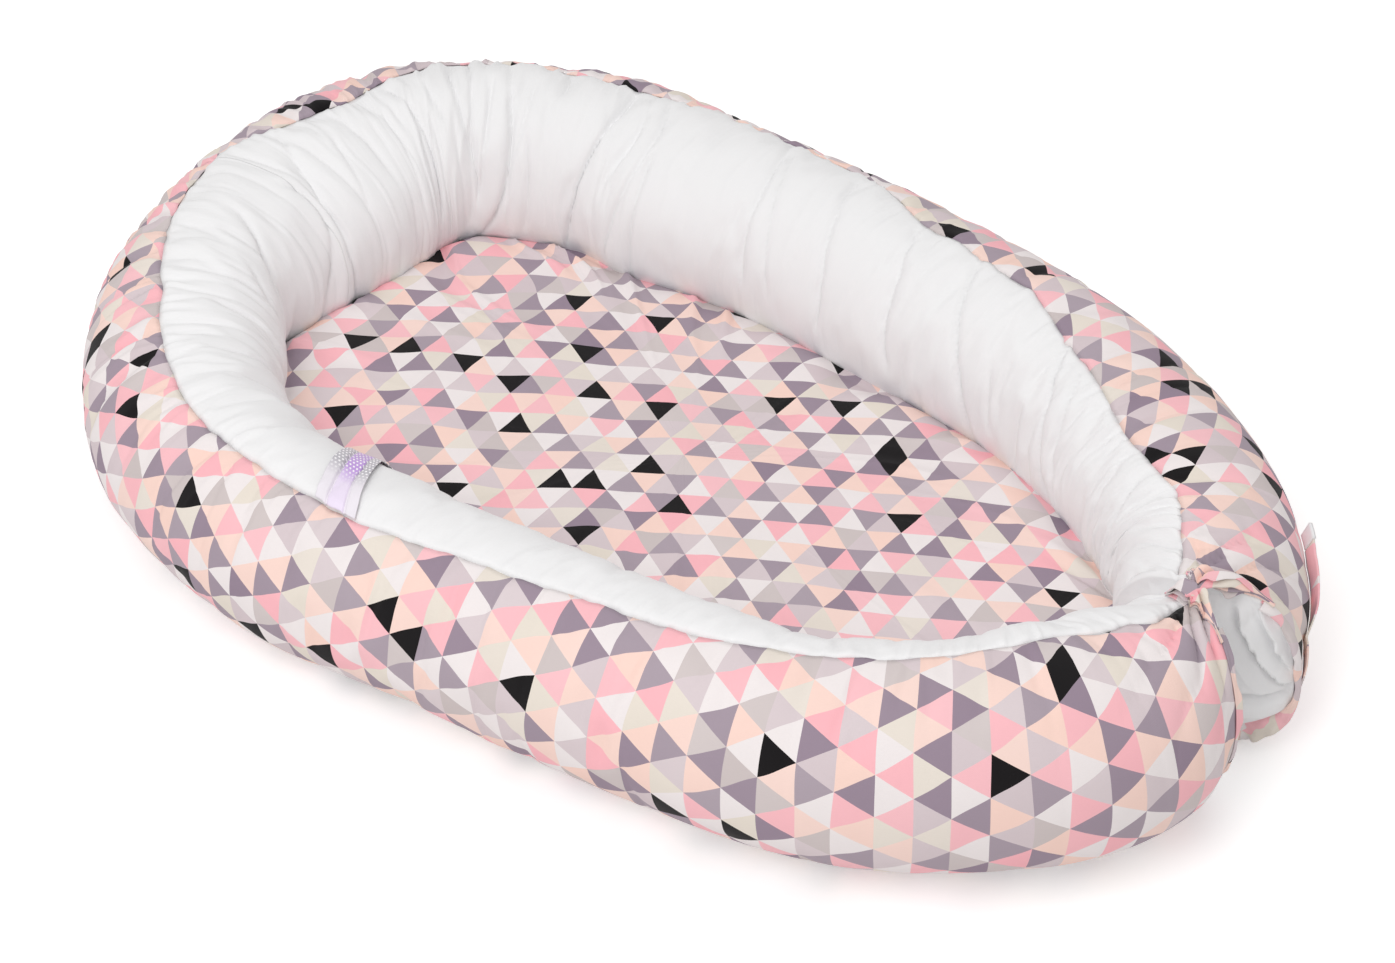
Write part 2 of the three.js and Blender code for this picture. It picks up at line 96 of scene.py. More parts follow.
# The white wall's main creases: depth in mm before CREASE_DEEPER, width in mm, then its way down: how far
# down from the seam (0) to the mattress (1), with the share of the route there
MAIN_CREASES = [
    (2.6, 4.0, ((0.3, 0.474), (0.5, 0.463), (0.75, 0.453), (1.0, 0.452))),
    (1.6, 3.4, ((0.38, 0.453), (0.55, 0.444), (0.9, 0.446))),
    (1.2, 3.0, ((0.0, 0.487), (0.12, 0.484), (0.26, 0.483))),
    (2.2, 5.5, ((0.04, 0.521), (0.25, 0.514), (0.5, 0.507), (0.75, 0.504), (0.95, 0.508))),
    (2.0, 4.5, ((0.36, 0.496), (0.5, 0.501), (0.75, 0.494), (1.0, 0.488))),
    (1.3, 4.0, ((0.25, 0.531), (0.4, 0.528), (0.6, 0.523))),
    (1.4, 5.0, ((0.06, 0.557), (0.25, 0.557), (0.5, 0.556), (0.66, 0.555))),
    (1.8, 5.0, ((0.06, 0.564), (0.25, 0.569), (0.5, 0.573), (0.8, 0.572))),
    (1.5, 3.0, ((0.18, 0.579), (0.3, 0.581), (0.44, 0.586))),
    (3.0, 3.6, ((0.06, 0.59), (0.25, 0.59), (0.5, 0.595), (0.66, 0.6), (0.8, 0.6))),
    (3.2, 3.6, ((0.0, 0.594), (0.12, 0.596), (0.3, 0.597), (0.58, 0.598))),
    (2.0, 3.4, ((0.24, 0.605), (0.5, 0.604), (0.76, 0.602))),
    (1.6, 2.6, ((0.1, 0.61), (0.26, 0.612), (0.42, 0.614))),
    (3.8, 3.4, ((0.3, 0.613), (0.5, 0.614), (0.62, 0.616), (0.78, 0.612), (0.92, 0.606), (1.04, 0.6))),
    (1.7, 4.0, ((0.2, 0.621), (0.4, 0.62), (0.58, 0.616))),
    (1.8, 3.2, ((0.48, 0.622), (0.75, 0.624), (0.94, 0.622))),
    (2.4, 2.8, ((0.0, 0.629), (0.1, 0.632), (0.22, 0.631))),
    (3.6, 4.0, ((0.0, 0.655), (0.22, 0.656), (0.4, 0.653), (0.55, 0.648), (0.78, 0.645), (1.0, 0.641))),
    (1.6, 6.0, ((0.06, 0.662), (0.3, 0.668), (0.5, 0.666))),
    (2.2, 5.0, ((0.1, 0.67), (0.25, 0.675), (0.5, 0.676), (0.75, 0.672), (0.95, 0.668))),
    (2.4, 3.6, ((0.42, 0.679), (0.7, 0.682), (1.02, 0.68))),
    (2.0, 4.4, ((0.0, 0.714), (0.25, 0.722), (0.5, 0.726), (0.78, 0.73))),
    (1.8, 5.0, ((0.12, 0.722), (0.3, 0.728), (0.5, 0.734), (0.8, 0.743))),
    (2.2, 4.2, ((0.1, 0.75), (0.25, 0.753), (0.5, 0.76), (0.82, 0.765))),
    (2.2, 4.6, ((0.04, 0.782), (0.25, 0.789), (0.5, 0.793), (0.8, 0.8))),
    (3.6, 4.0, ((0.0, 0.811), (0.25, 0.817), (0.5, 0.827), (0.75, 0.834), (1.0, 0.839))),
    (1.4, 3.4, ((0.45, 0.842), (0.6, 0.846), (0.8, 0.85))),
    (3.6, 4.6, ((0.0, 0.862), (0.25, 0.872), (0.5, 0.88), (0.75, 0.886), (1.0, 0.893))),
    (2.2, 3.6, ((0.06, 0.877), (0.25, 0.884), (0.5, 0.889), (0.66, 0.892))),
    (1.8, 3.4, ((0.12, 0.934), (0.32, 0.94), (0.52, 0.944))),
    (2.0, 3.4, ((0.1, 0.985), (0.4, 0.978), (0.7, 0.98))),
]

# How far the wall's foot swells in over the mattress: share of the route, then mm. It runs straight
# between the corners of the head.
FOOT_SWELL = [
    (0.43, 0.0), (0.462, -8.0), (0.485, 2.0), (0.505, 11.0), (0.53, 15.5), (0.555, 12.0), (0.578, 2.5),
    (0.6, -7.5), (0.62, -5.0), (0.645, -1.5), (0.676, 8.5), (0.705, 3.0), (0.73, 0.0),
]

# Sizes, as in the solids. The roll's two ends turn into the V over END_TURN.
OVERALL_LENGTH = 900 * MM
OVERALL_WIDTH = 596 * MM
ROLL_WIDTH = 137 * MM
ROLL_HEIGHT = 133 * MM
ROLL_FLOOR = 2.3 * MM
END_TURN = 130 * MM
MATTRESS_EDGE = 38 * MM
CLOTH = 1.2 * MM
FINE_CLOTH = 0.6 * MM
ROUTE_SAMPLES = 900

# Ways that the two mouths' outer sides look on the plane, and the way of both inner sides
NEAR_MOUTH = math.radians(-28)
FAR_MOUTH = math.radians(28)
PINCH = math.radians(170)

# Angles on the roll, from its outer side up over the crest and down its inner side: where the cloth ends
# under it on both sides, where the inner half sinks, and the foot of the white wall
UNDER_OUTSIDE = math.radians(-87)
UNDER_INSIDE = math.radians(267)
SINK_START = math.radians(55)
SINK_END = math.radians(115)
WALL_FOOT = math.radians(205)

HALF_TURN = math.pi
HALF_ROUND = HALF_TURN * ROLL_WIDTH / 2
UP = np.array((0.0, 0.0, 1.0))

# Share of the route at which the long pieces are cut in two
SPLIT = 0.5

# Half width of the dip along the seam, and of the notches that creases make in it
SEAM_HALF = 3.4 * MM

# The cloth simulation: frames, distance between points, and how much of the cloth's broad moves the
# stuffing takes back, over how many points each way
SETTLE_FRAMES = 20
SETTLE_STEP = 4.4 * MM
HELD_SHAPE = 0.8
HELD_REACH = 9

# Least room between a cover and the stuffing under it, how far the stuffing lies under the covers' plain
# place, and how far its creases spread each way
COVER_ROOM = 0.4 * MM
STUFFING_SUNK = 4.8 * MM
STUFFING_SPREAD = 3 * MM

# Where the wall's foot swells, as angles on the roll, and over what angle it begins and ends
SWELL_START = math.radians(112)
SWELL_RISE = math.radians(55)
SWELL_END = math.radians(262)
SWELL_FALL = 0.45

# Where the print is drawn together by each mouth, as angles on the roll
NEAR_PINCH = math.radians(86)
FAR_PINCH = math.radians(100)

# How much deeper the main creases are than their table says, and the rounding at the bottom of a crease
CREASE_DEEPER = 1.4
MAIN_ROUNDING = 0.5 * MM
CREASE_ROUNDING = 0.6 * MM

# Distances between points and counts of points of the plainer pieces
STUFFING_SIDES = 70
STUFFING_STEP = 3 * MM
MATTRESS_COLUMNS = 560
MATTRESS_RINGS = (92, 22)
BASE_COLUMNS = 400
BASE_ROWS = 24
END_CLOTH_SIDES = 300
END_CLOTH_RINGS = 84
HEM_ROWS = 150
HEM_COLUMNS = 45
FRILL_COLUMNS = 26
FLAP_COLUMNS = 10
RIBBON_GRID = (67, 90)

# How far past the roll's centre line the base cloth reaches, as a share of the half width, and its height
BASE_REACH = 0.33
BASE_HEIGHT = 1.6 * MM

# Side of the mattress, down from its edge: how far in, then height over the floor, in mm
MATTRESS_SIDE = [(0.0, 30), (1.0, 25), (3.0, 18), (4.5, 11), (6.0, 6), (9.0, 3.4)]
# Below this height the mattress doesn't follow the wall's foot where that draws back
MATTRESS_LOW = 15 * MM


def smooth(t):
    t = np.clip(t, 0, 1)
    return t * t * (3 - 2 * t)


def hill(x, middle, width, power=2):
    """A bump of height 1 about a middle, that falls off over a width."""
    return np.exp(-(((x - middle) / width) ** power))


def crest(x, middle, width):
    """A sharp ridge of height 1 about a middle, that falls off over a width."""
    return np.exp(-np.abs(x - middle) / width)


def at_height(flat, height):
    """Points on the plane, raised to one height."""
    return np.hstack([flat, np.full((len(flat), 1), height)])


def lengths(steps):
    """Length to each point, from the steps between the points."""
    return np.concatenate([[0], np.cumsum(steps)])


def wrapped(angle, past):
    """Angles, those past a given one counted from the other side of zero."""
    return np.where(angle > past, angle - 2 * HALF_TURN, angle)


def unit(v):
    return v / np.maximum(np.linalg.norm(v, axis=-1, keepdims=True), 1e-12)


def along(rows, share):
    """Value at a share of the route, eased between the rows of a table."""
    table = np.array(rows)
    share = np.asarray(share, float)
    k = np.clip(np.searchsorted(table[:, 0], share) - 1, 0, len(table) - 2)
    t = (share - table[k, 0]) / (table[k + 1, 0] - table[k, 0])
    return table[k, 1] + (table[k + 1, 1] - table[k, 1]) * smooth(t)


def noise(x, y, seed):
    """Smooth noise from -1 to 1, with one value a unit."""
    table = np.random.RandomState(seed).uniform(-1, 1, (256, 256))
    x, y = np.broadcast_arrays(x, y)
    i, j = np.floor(x).astype(int), np.floor(y).astype(int)
    u, v = smooth(x - i), smooth(y - j)
    corner = lambda a, b: table[(i + a) % 256, (j + b) % 256]
    low = corner(0, 0) * (1 - u) + corner(1, 0) * u
    high = corner(0, 1) * (1 - u) + corner(1, 1) * u
    return low * (1 - v) + high * v


def ripple(x, y, seed, octaves=3):
    total, share = 0, 1.0
    for k in range(octaves):
        total = total + share * noise(x * 2**k, y * 2**k, seed + k)
        share *= 0.5
    return total / 1.75


# The roll's route and sections


def make_route():
    """Samples of the route as x, y and half width, and the length to each, as the solids have them."""
    half_length = (OVERALL_LENGTH - ROLL_WIDTH) / 2
    half_width = (OVERALL_WIDTH - ROLL_WIDTH) / 2
    points = np.array(ROUTE_SHARES) * (half_length, half_width, ROLL_WIDTH / 2)
    first, last = 2 * points[0] - points[1], 2 * points[-1] - points[-2]
    points = np.vstack([first, points, last])
    samples = []
    for n in range(ROUTE_SAMPLES + 1):
        at = n / ROUTE_SAMPLES * (len(points) - 3)
        k = min(int(at), len(points) - 4)
        t = at - k
        p0, p1, p2, p3 = points[k : k + 4]
        d0, d1, d2 = (math.sqrt(np.linalg.norm(b - a)) for a, b in ((p0, p1), (p1, p2), (p2, p3)))
        t1 = d1 * ((p1 - p0) / d0 - (p2 - p0) / (d0 + d1) + (p2 - p1) / d1)
        t2 = d1 * ((p2 - p1) / d1 - (p3 - p1) / (d1 + d2) + (p3 - p2) / d2)
        square = (-3 * p1 + 3 * p2 - 2 * t1 - t2) * t**2
        samples.append(p1 + t1 * t + square + (2 * p1 - 2 * p2 + t1 + t2) * t**3)
    samples = np.array(samples)
    return samples, lengths(np.hypot(*np.diff(samples[:, :2], axis=0).T))


SAMPLES, LENGTHS = make_route()
TOTAL = LENGTHS[-1]


def place(share):
    length = np.clip(share, 0, 1) * TOTAL
    return np.stack([np.interp(length, LENGTHS, SAMPLES[:, k]) for k in range(3)], -1)


class Section:
    """Cross-sections of the roll at shares of the route, as the solids have them."""

    def __init__(self, share):
        self.share = np.atleast_1d(np.asarray(share, float))
        step = 1 / ROUTE_SAMPLES
        here, ahead, behind = (place(self.share + k * step) for k in (0, 1, -1))
        square = unit(np.stack([behind[:, 1] - ahead[:, 1], ahead[:, 0] - behind[:, 0]], -1))
        near = smooth(np.maximum(0, 1 - self.share * TOTAL / END_TURN))[:, None]
        far = smooth(np.maximum(0, 1 - (1 - self.share) * TOTAL / END_TURN))[:, None]
        aim = lambda angle: np.array([math.cos(angle), math.sin(angle)])
        outward = square + (aim(NEAR_MOUTH) - square) * near
        inward = -square + (aim(PINCH) + square) * np.maximum(near, far)
        self.outward = unit(outward + (aim(FAR_MOUTH) - outward) * far)
        self.inward = unit(inward)
        self.centre = here[:, :2]
        self.half_width = here[:, 2]
        self.half_height = here[:, 2] * ROLL_HEIGHT / ROLL_WIDTH
        self.inner_width = self.half_width * (1 - along(SLIM_SHARES, self.share))
        self.sink = along(SINK_SHARES, self.share)
        self.run = self.share * TOTAL
        # The same as columns, to go with rows of angles
        self.way = self.run[:, None]
        self.tall = self.half_height[:, None]
        self.crowd = along(FOLD_SHARES, self.share)[:, None]
        self.head = headness(self.share)[:, None]
        self.seam = seam_angle(self.share)[:, None]

    def outwards(self, angle):
        """The way out from the roll at angles, a centimetre long."""
        return self.points(angle, 0 * angle + 0.01) - self.points(angle, 0 * angle)

    def points(self, angle, lift):
        """Points at angles above the outward side, raised off the cloth's place by lift."""
        cos, sin = np.cos(angle), np.sin(angle)
        outside = cos > 0
        side = np.where(outside[..., None], self.outward[:, None], self.inward[:, None])
        width = np.where(outside, self.half_width[:, None], self.inner_width[:, None])
        flat = self.centre[:, None] + side * ((width + lift) * np.abs(cos))[..., None]
        over = smooth((angle - SINK_START) / (SINK_END - SINK_START)) * (sin > 0)
        height = self.tall * (1 - self.sink[:, None] * over)
        rise = self.tall + (height + lift) * sin
        low = ROLL_FLOOR + np.maximum(0, -lift) * 0.2
        soft = 5 * MM
        over = rise - low
        rise = low + np.where(over < soft, soft * np.exp(np.minimum(over / soft, 1) - 1), over)
        return np.concatenate([flat, rise[..., None]], -1)


def headness(share):
    """How near a share of the route is to the middle of the head, from 0 to 1."""
    return hill(share, 0.5, 0.17)


def seam_angle(share):
    """Angle of the seam. It wanders, most by the far arm, and is notched where a crease starts on it."""
    run = np.asarray(share) * TOTAL
    far_end = smooth((np.asarray(share) - 0.7) / 0.1)
    wander = (1.7 + 2.4 * far_end) * MM * noise(run / 0.019, 0.5, 11)
    wander = wander + 1.0 * MM * noise(run / 0.008, 0.5, 12)
    for depth, _, way in MAIN_CREASES:
        if way[0][0] < 0.03:
            wander = wander + 0.9 * depth * MM * hill(run, way[0][1] * TOTAL, SEAM_HALF)
    return along(SEAM_SHARES, share) * HALF_TURN + wander / (ROLL_HEIGHT / 2)


# Folds of the cloth, as lift off the plain roll


def lumps(at, angle):
    """How the stuffing swells and sinks under either cloth."""
    return 2.2 * MM * ripple(at.way / 0.105, angle * ROLL_WIDTH / 2 / 0.085, 21, 2)


def swell_at(share):
    """How far the wall's foot swells in over the mattress, in mm."""
    return along(FOOT_SWELL, np.clip(share, FOOT_SWELL[0][0], FOOT_SWELL[-1][0]))


def foot_swell(at, angle):
    """Lift of the wall's foot, on the white cloth and the stuffing alike."""
    low = smooth((angle - SWELL_START) / SWELL_RISE) * smooth((SWELL_END - angle) / SWELL_FALL)
    return swell_at(at.share)[:, None] * MM * low


def mouth_sag(at, angle):
    """Lift of the far arm's loose lower side by its mouth, where the slack cloth hangs squarer."""
    return 10 * MM * hill(angle, -0.62, 0.42) * smooth(1 - (TOTAL - at.way) / 0.085)


def stuffing_lift(at, angle):
    """Lift of the stuffing's own surface, which follows the main creases."""
    sunk = main_creases(at, angle, STUFFING_SPREAD)
    return foot_swell(at, angle) + 0.6 * lumps(at, angle) - STUFFING_SUNK - sunk


def seam_dip(arc):
    """Lift lost where the stitches draw the cloth in."""
    return -2.4 * MM * hill(arc, 0, SEAM_HALF)


def creases(at, angle, low, high, spacing, width, seed, slant=9 * MM):
    """Share of full lift left between creases that run across the roll, from 0 in a crease to 1."""
    rng = np.random.RandomState(seed)
    across = (angle - low) / (high - low)
    left = np.ones_like(angle)
    run = -0.02
    while run < TOTAL + 0.02:
        gap = float(spacing(min(max(run / TOTAL, 0), 1)))
        lean, curl = rng.uniform(-1, 1, 2) * slant
        wide = width * rng.uniform(0.5, 1.6)
        depth = rng.uniform(0.2, 1.0)
        kind, reach = rng.uniform(0, 1, 2)
        wiggle = rng.uniform(0, 6.28)
        near = np.abs(at.run - run) < 0.06
        if near.any():
            t = across[near]
            mid = run + lean * (t - 0.5) * 2 + curl * (t - 0.5) ** 2 * 4
            mid = mid + 1.2 * MM * np.sin(t * 7 + wiggle)
            if kind < 0.4:
                fade = smooth(t * 12) * smooth((1 - t) * 6)
            elif kind < 0.75:
                fade = smooth(t * 14) * smooth((0.35 + 0.5 * reach - t) * 4)
            else:
                fade = smooth((t - 0.15 - 0.4 * reach) * 4) * smooth((1 - t) * 6)
            side = at.way[near] - mid
            off = np.hypot(side, CREASE_ROUNDING) - CREASE_ROUNDING
            left[near] *= 1 - depth * fade * np.exp(-off / (wide * np.where(side > 0, 1.0, 0.45)))
        run += gap * rng.uniform(0.3, 1.9)
    return left


def main_creases(at, angle, spread=0):
    """Lift lost in the white wall's main creases: a sharp valley each, with a shoulder that rounds over.

    spread is how far the valley's floor reaches each way.
    """
    down = (angle - at.seam) / (WALL_FOOT - at.seam)
    total = np.zeros_like(angle)
    for number, (depth, width, way) in enumerate(MAIN_CREASES):
        downs, shares = np.array(way).T
        near = (at.share > shares.min() - 0.025) & (at.share < shares.max() + 0.025)
        if not near.any():
            continue
        t = down[near]
        curve = np.polyfit(downs, shares, min(3, len(way) - 1))
        mid = np.polyval(curve, np.clip(t, downs[0], downs[-1])) * TOTAL
        off = at.way[near] - mid
        side = np.where(off > 0, 1.0, 0.4) if number % 3 else np.where(off > 0, 0.4, 1.0)
        off = np.hypot(np.maximum(0, np.abs(off) - spread), MAIN_ROUNDING) - MAIN_ROUNDING
        fade = smooth((t - downs[0] + 0.05) / 0.1) * smooth((downs[-1] + 0.05 - t) / 0.1)
        shape = 0.6 * np.exp(-off / (1.3 * MM)) + 0.4 * np.exp(-off / (width * 2 * side * MM))
        total[near] += CREASE_DEEPER * depth * MM * fade * shape
    return total


def ridges(x, y, seed):
    """Crisp wrinkles: noise folded over at its zero, from -1 in a valley to 1 on a ridge."""
    return 1 - 2 * np.minimum(1, 1.6 * np.abs(noise(x, y, seed)))


def white_lift(at, angle):
    """Lift of the white cloth: crowded folds that run from the seam down to the mattress."""
    arc, crowd = (angle - at.seam) * at.tall, at.crowd
    spacing = lambda share: (46 - 27 * along(FOLD_SHARES, share)) * MM
    big = creases(at, angle, at.seam, UNDER_INSIDE - 0.5, spacing, 5.5 * MM, 31)
    small = creases(at, angle, at.seam, UNDER_INSIDE - 0.7, lambda s: spacing(s) * 0.5, 2.8 * MM, 32)
    drift = at.way / 0.011 + 1.5 * ripple(arc / 0.05, at.way / 0.06, 36, 2)
    fine = ridges(drift, arc / 0.07, 33) * (0.12 + 0.5 * crowd) * MM
    tuck = ridges(at.way / 0.0085 + arc / 0.06, arc / 0.05, 34) * np.exp(-arc / 0.018)
    lift = (0.6 + 1.8 * crowd) * MM * (big - 0.8) + (0.4 + 1.2 * crowd) * MM * (small - 0.8) + fine
    lift = lift + tuck * (0.7 + 1.5 * crowd) * MM - main_creases(at, angle)
    rise = at.tall * (1 + np.sin(angle))
    inside = np.where(np.cos(angle) < 0, smooth((rise - 0.03) / 0.03), 1)
    lift = lift * (0.25 + 0.75 * inside) + lumps(at, angle)
    return lift * smooth(arc / 0.006) + seam_dip(arc) + foot_swell(at, angle)


def pinch_folds(at, angle):
    """Folds of the print that fan out from where each arm's mouth is drawn together, from -1 to 1."""
    total = np.zeros_like(angle)
    for from_end, pinch, seed in ((at.way, NEAR_PINCH, 45), (TOTAL - at.way, FAR_PINCH, 46)):
        run = from_end + 4 * MM
        arc = (pinch - angle) * at.tall
        far = np.hypot(run, arc)
        aim = np.arctan2(arc, run) + 0.16 * ripple(far / 0.035, run / 0.03, seed, 2)
        strength = smooth(far / 0.014) * hill(far, 0, 0.08) * smooth(arc / 0.01 + 0.5)
        total = total + strength * (1 - 2 * np.abs(np.sin(aim * 7.5)) ** 0.6)
    return total


def print_lift(at, angle):
    """Lift of the printed cloth: gathered at the seam, and taut over the outer side."""
    arc = (at.seam - angle) * at.tall
    spacing = lambda share: (27 - 9 * along(FOLD_SHARES, share)) * MM
    folds = creases(at, -angle, -at.seam, -UNDER_OUTSIDE, spacing, 4.6 * MM, 41, 10 * MM)
    near_seam = np.exp(-arc / (0.03 + 0.045 * at.head))
    tuck = ridges(at.way / 0.009 - arc / 0.07, arc / 0.05, 42) * (0.5 + 1.3 * at.head) * MM * near_seam
    lift = (0.5 + 3.2 * near_seam * (0.4 + at.crowd)) * MM * (folds - 0.8) + tuck
    lift = lift + ripple(at.way / 0.03, angle / 1.1, 43) * 0.5 * MM - 4.4 * MM * pinch_folds(at, angle)
    lift = lift + lumps(at, angle)
    return lift * smooth(arc / 0.006) + seam_dip(arc) + mouth_sag(at, angle)


# Meshes


def mesh_object(name, points, faces, uvs=None, gather=None):
    """A smooth mesh object at the origin; uvs are one pair a vertex, in metres of cloth.

    gather is one value a vertex: how strongly stitches wrinkle the cloth there.
    """
    mesh = bpy.data.meshes.new(name)
    mesh.from_pydata(points.tolist(), [], faces.tolist() if hasattr(faces, "tolist") else faces)
    if uvs is not None:
        corner = np.empty(len(mesh.loops), np.int32)
        mesh.loops.foreach_get("vertex_index", corner)
        layer = mesh.uv_layers.new(name="Cloth")
        layer.data.foreach_set("uv", uvs[corner].astype(np.float32).ravel())
    if gather is not None:
        layer = mesh.attributes.new("gather", "FLOAT", "POINT")
        layer.data.foreach_set("value", gather.astype(np.float32))
    mesh.polygons.foreach_set("use_smooth", np.ones(len(mesh.polygons), bool))
    mesh.validate()
    obj = bpy.data.objects.new(name, mesh)
    bpy.context.scene.collection.objects.link(obj)
    return obj


def grid_normals(points, wrap=False):
    if wrap:
        around = np.roll(points, -1, 1) - np.roll(points, 1, 1)
    else:
        around = np.gradient(points, axis=1)
    return unit(np.cross(around, np.gradient(points, axis=0)))


def grid_faces(rows, columns, wrap=False):
    across = columns if wrap else columns - 1
    i, j = np.meshgrid(np.arange(rows - 1), np.arange(across), indexing="ij")
    a = i * columns + j
    b = i * columns + (j + 1) % columns
    return np.stack([a, b, b + columns, a + columns], -1).reshape(-1, 4)


def border(rows, columns, wrap=False):
    """Vertices round a grid's edge, in order, as runs that start and end on a corner."""
    number = np.arange(rows * columns).reshape(rows, columns)
    if wrap:
        return [np.append(number[0], number[0, 0]), np.append(number[-1], number[-1, 0])[::-1]]
    return [np.concatenate([number[0], number[1:, -1], number[-1, -2::-1], number[-2::-1, 0]])]


def cloth_shell(name, points, uvs, thickness, out, wrap=False, gather=None):
    """Closed cloth of a given thickness whose outer face goes through a grid of points, seen from out."""
    rows, columns = points.shape[:2]
    normal = grid_normals(points, wrap)
    faces = grid_faces(rows, columns, wrap)
    # Turned over where the grid runs the other way round
    turn = -1 if (normal * out).sum() < 0 else 1
    inner = points - normal * turn * thickness
    count = rows * columns
    outer_faces = faces[:, ::-turn]
    sides = [outer_faces, outer_faces[:, ::-1] + count]
    for run in border(rows, columns, wrap):
        a, b = run[:-1], run[1:]
        sides.append(np.stack([a, b, b + count, a + count], -1)[:, ::turn])
    both = np.concatenate([points.reshape(-1, 3), inner.reshape(-1, 3)])
    pair = np.concatenate([uvs.reshape(-1, 2)] * 2)
    if gather is not None:
        gather = np.concatenate([gather.ravel()] * 2)
    return mesh_object(name, both, np.concatenate(sides), pair, gather)


def closed_rings(name, rings, uvs=None):
    """Closed body through rings of equal counts, each end shut at the middle of its ring."""
    rows, columns = rings.shape[:2]
    points = np.concatenate([rings.reshape(-1, 3), [rings[0].mean(0), rings[-1].mean(0)]])
    faces = grid_faces(rows, columns, True).tolist()
    start, end = rows * columns, rows * columns + 1
    for j in range(columns):
        k = (j + 1) % columns
        faces.append([start, k, j])
        faces.append([end, (rows - 1) * columns + j, (rows - 1) * columns + k])
    if uvs is not None:
        uvs = np.concatenate([uvs.reshape(-1, 2), [uvs[0].mean(0), uvs[-1].mean(0)]])
    body = mesh_object(name, points, faces, uvs)
    # Turned over if its faces point in
    work = bmesh.new()
    work.from_mesh(body.data)
    if work.calc_volume(signed=True) < 0:
        bmesh.ops.reverse_faces(work, faces=work.faces)
        work.to_mesh(body.data)
    work.free()
    return body


def pairs(u, v):
    """Places on the flat cloth, from grids that may be one row or one column."""
    return np.stack(np.broadcast_arrays(u, v), -1)


# Cloth simulation


def blurred(values, reach):
    """A grid's values, averaged over a reach of steps each way."""
    weights = np.hanning(2 * reach + 3)[1:-1]
    weights = weights / weights.sum()
    for axis in (0, 1):
        spread = [(reach, reach) if k == axis else (0, 0) for k in range(values.ndim)]
        wide = np.pad(values, spread, "edge")
        values = np.apply_along_axis(np.convolve, axis, wide, weights, "valid")
    return values


def settle(points, ease, pinned, pressure, most, cap):
    """Lets a grid of cloth, cut larger by up to `most`, buckle and swell over its stuffing.

    ease says how much of that each point gets, from 0 to 1. Gives the points' moves, none over cap.
    """
    rows, columns = points.shape[:2]
    cloth = mesh_object("settling", points.reshape(-1, 3), grid_faces(rows, columns))
    for group, weights in (("held", pinned), ("taut", 1 - ease)):
        layer = cloth.vertex_groups.new(name=group)
        for number, weight in enumerate(weights.ravel()):
            if weight > 0:
                layer.add([number], float(weight), "REPLACE")
    modifier = cloth.modifiers.new("Cloth", "CLOTH")
    settings = modifier.settings
    settings.quality = 6
    settings.bending_stiffness = 0.3
    settings.use_pressure = True
    settings.uniform_pressure_force = pressure
    settings.vertex_group_mass = "held"
    settings.vertex_group_shrink = "taut"
    settings.shrink_min = -most
    settings.shrink_max = 0
    settings.effector_weights.gravity = 0
    modifier.collision_settings.use_collision = False
    modifier.point_cache.frame_start = 1
    modifier.point_cache.frame_end = SETTLE_FRAMES
    for number in range(1, SETTLE_FRAMES + 1):
        bpy.context.scene.frame_set(number)
    settled = cloth.evaluated_get(bpy.context.evaluated_depsgraph_get()).data
    ends = np.empty(rows * columns * 3, np.float32)
    settled.vertices.foreach_get("co", ends)
    bpy.data.objects.remove(cloth)
    bpy.context.scene.frame_set(1)
    moves = ends.reshape(points.shape).astype(float) - points
    moves = moves - HELD_SHAPE * blurred(moves, HELD_REACH)
    moves[1:-1, 1:-1] = (
        4 * moves[1:-1, 1:-1]
        + 1.5 * (moves[:-2, 1:-1] + moves[2:, 1:-1])
        + 1.5 * (moves[1:-1, :-2] + moves[1:-1, 2:])
    ) / 10
    length = np.linalg.norm(moves, axis=-1, keepdims=True)
    return moves * np.minimum(1, cap / np.maximum(length, 1e-9))


def cubic(values, at):
    """Values along the first axis at broken indices, eased through their neighbours."""
    k = np.clip(np.floor(at).astype(int), 0, len(values) - 2)
    t = (at - k).reshape(-1, *[1] * (values.ndim - 1))
    low, a, b, high = (values[np.clip(k + n, 0, len(values) - 1)] for n in (-1, 0, 1, 2))
    near = 2 * a + (b - low) * t + (2 * low - 5 * a + 4 * b - high) * t**2
    return (near + (3 * a - low - 3 * b + high) * t**3) / 2


def resample(values, rows, columns):
    """A grid's values at fractional rows and columns."""
    return cubic(cubic(values, rows).swapaxes(0, 1), columns).swapaxes(0, 1)


def grid_area(points):
    a, b = points[1:, 1:] - points[:-1, :-1], points[1:, :-1] - points[:-1, 1:]
    return float(np.linalg.norm(np.cross(a, b), axis=-1).sum() / 2)


def steps_across(points, **first):
    """Distances between the points of each row of a grid."""
    return np.linalg.norm(np.diff(points, axis=1, **first), axis=-1)


def declare_strip(points):
    """Works out the flat width and length that a strip of cloth's grid of points unrolls to, and keeps
    neither.
    """
    width = float(steps_across(points).sum(1).mean())
    grid_area(points) / width


def declare_round(points):
    """Works out the area of a rounded cut of cloth from a grid of points in closed rings, and keeps
    nothing.
    """
    around = np.concatenate([points, points[:, :1]], axis=1)
    area = grid_area(around)


# Materials


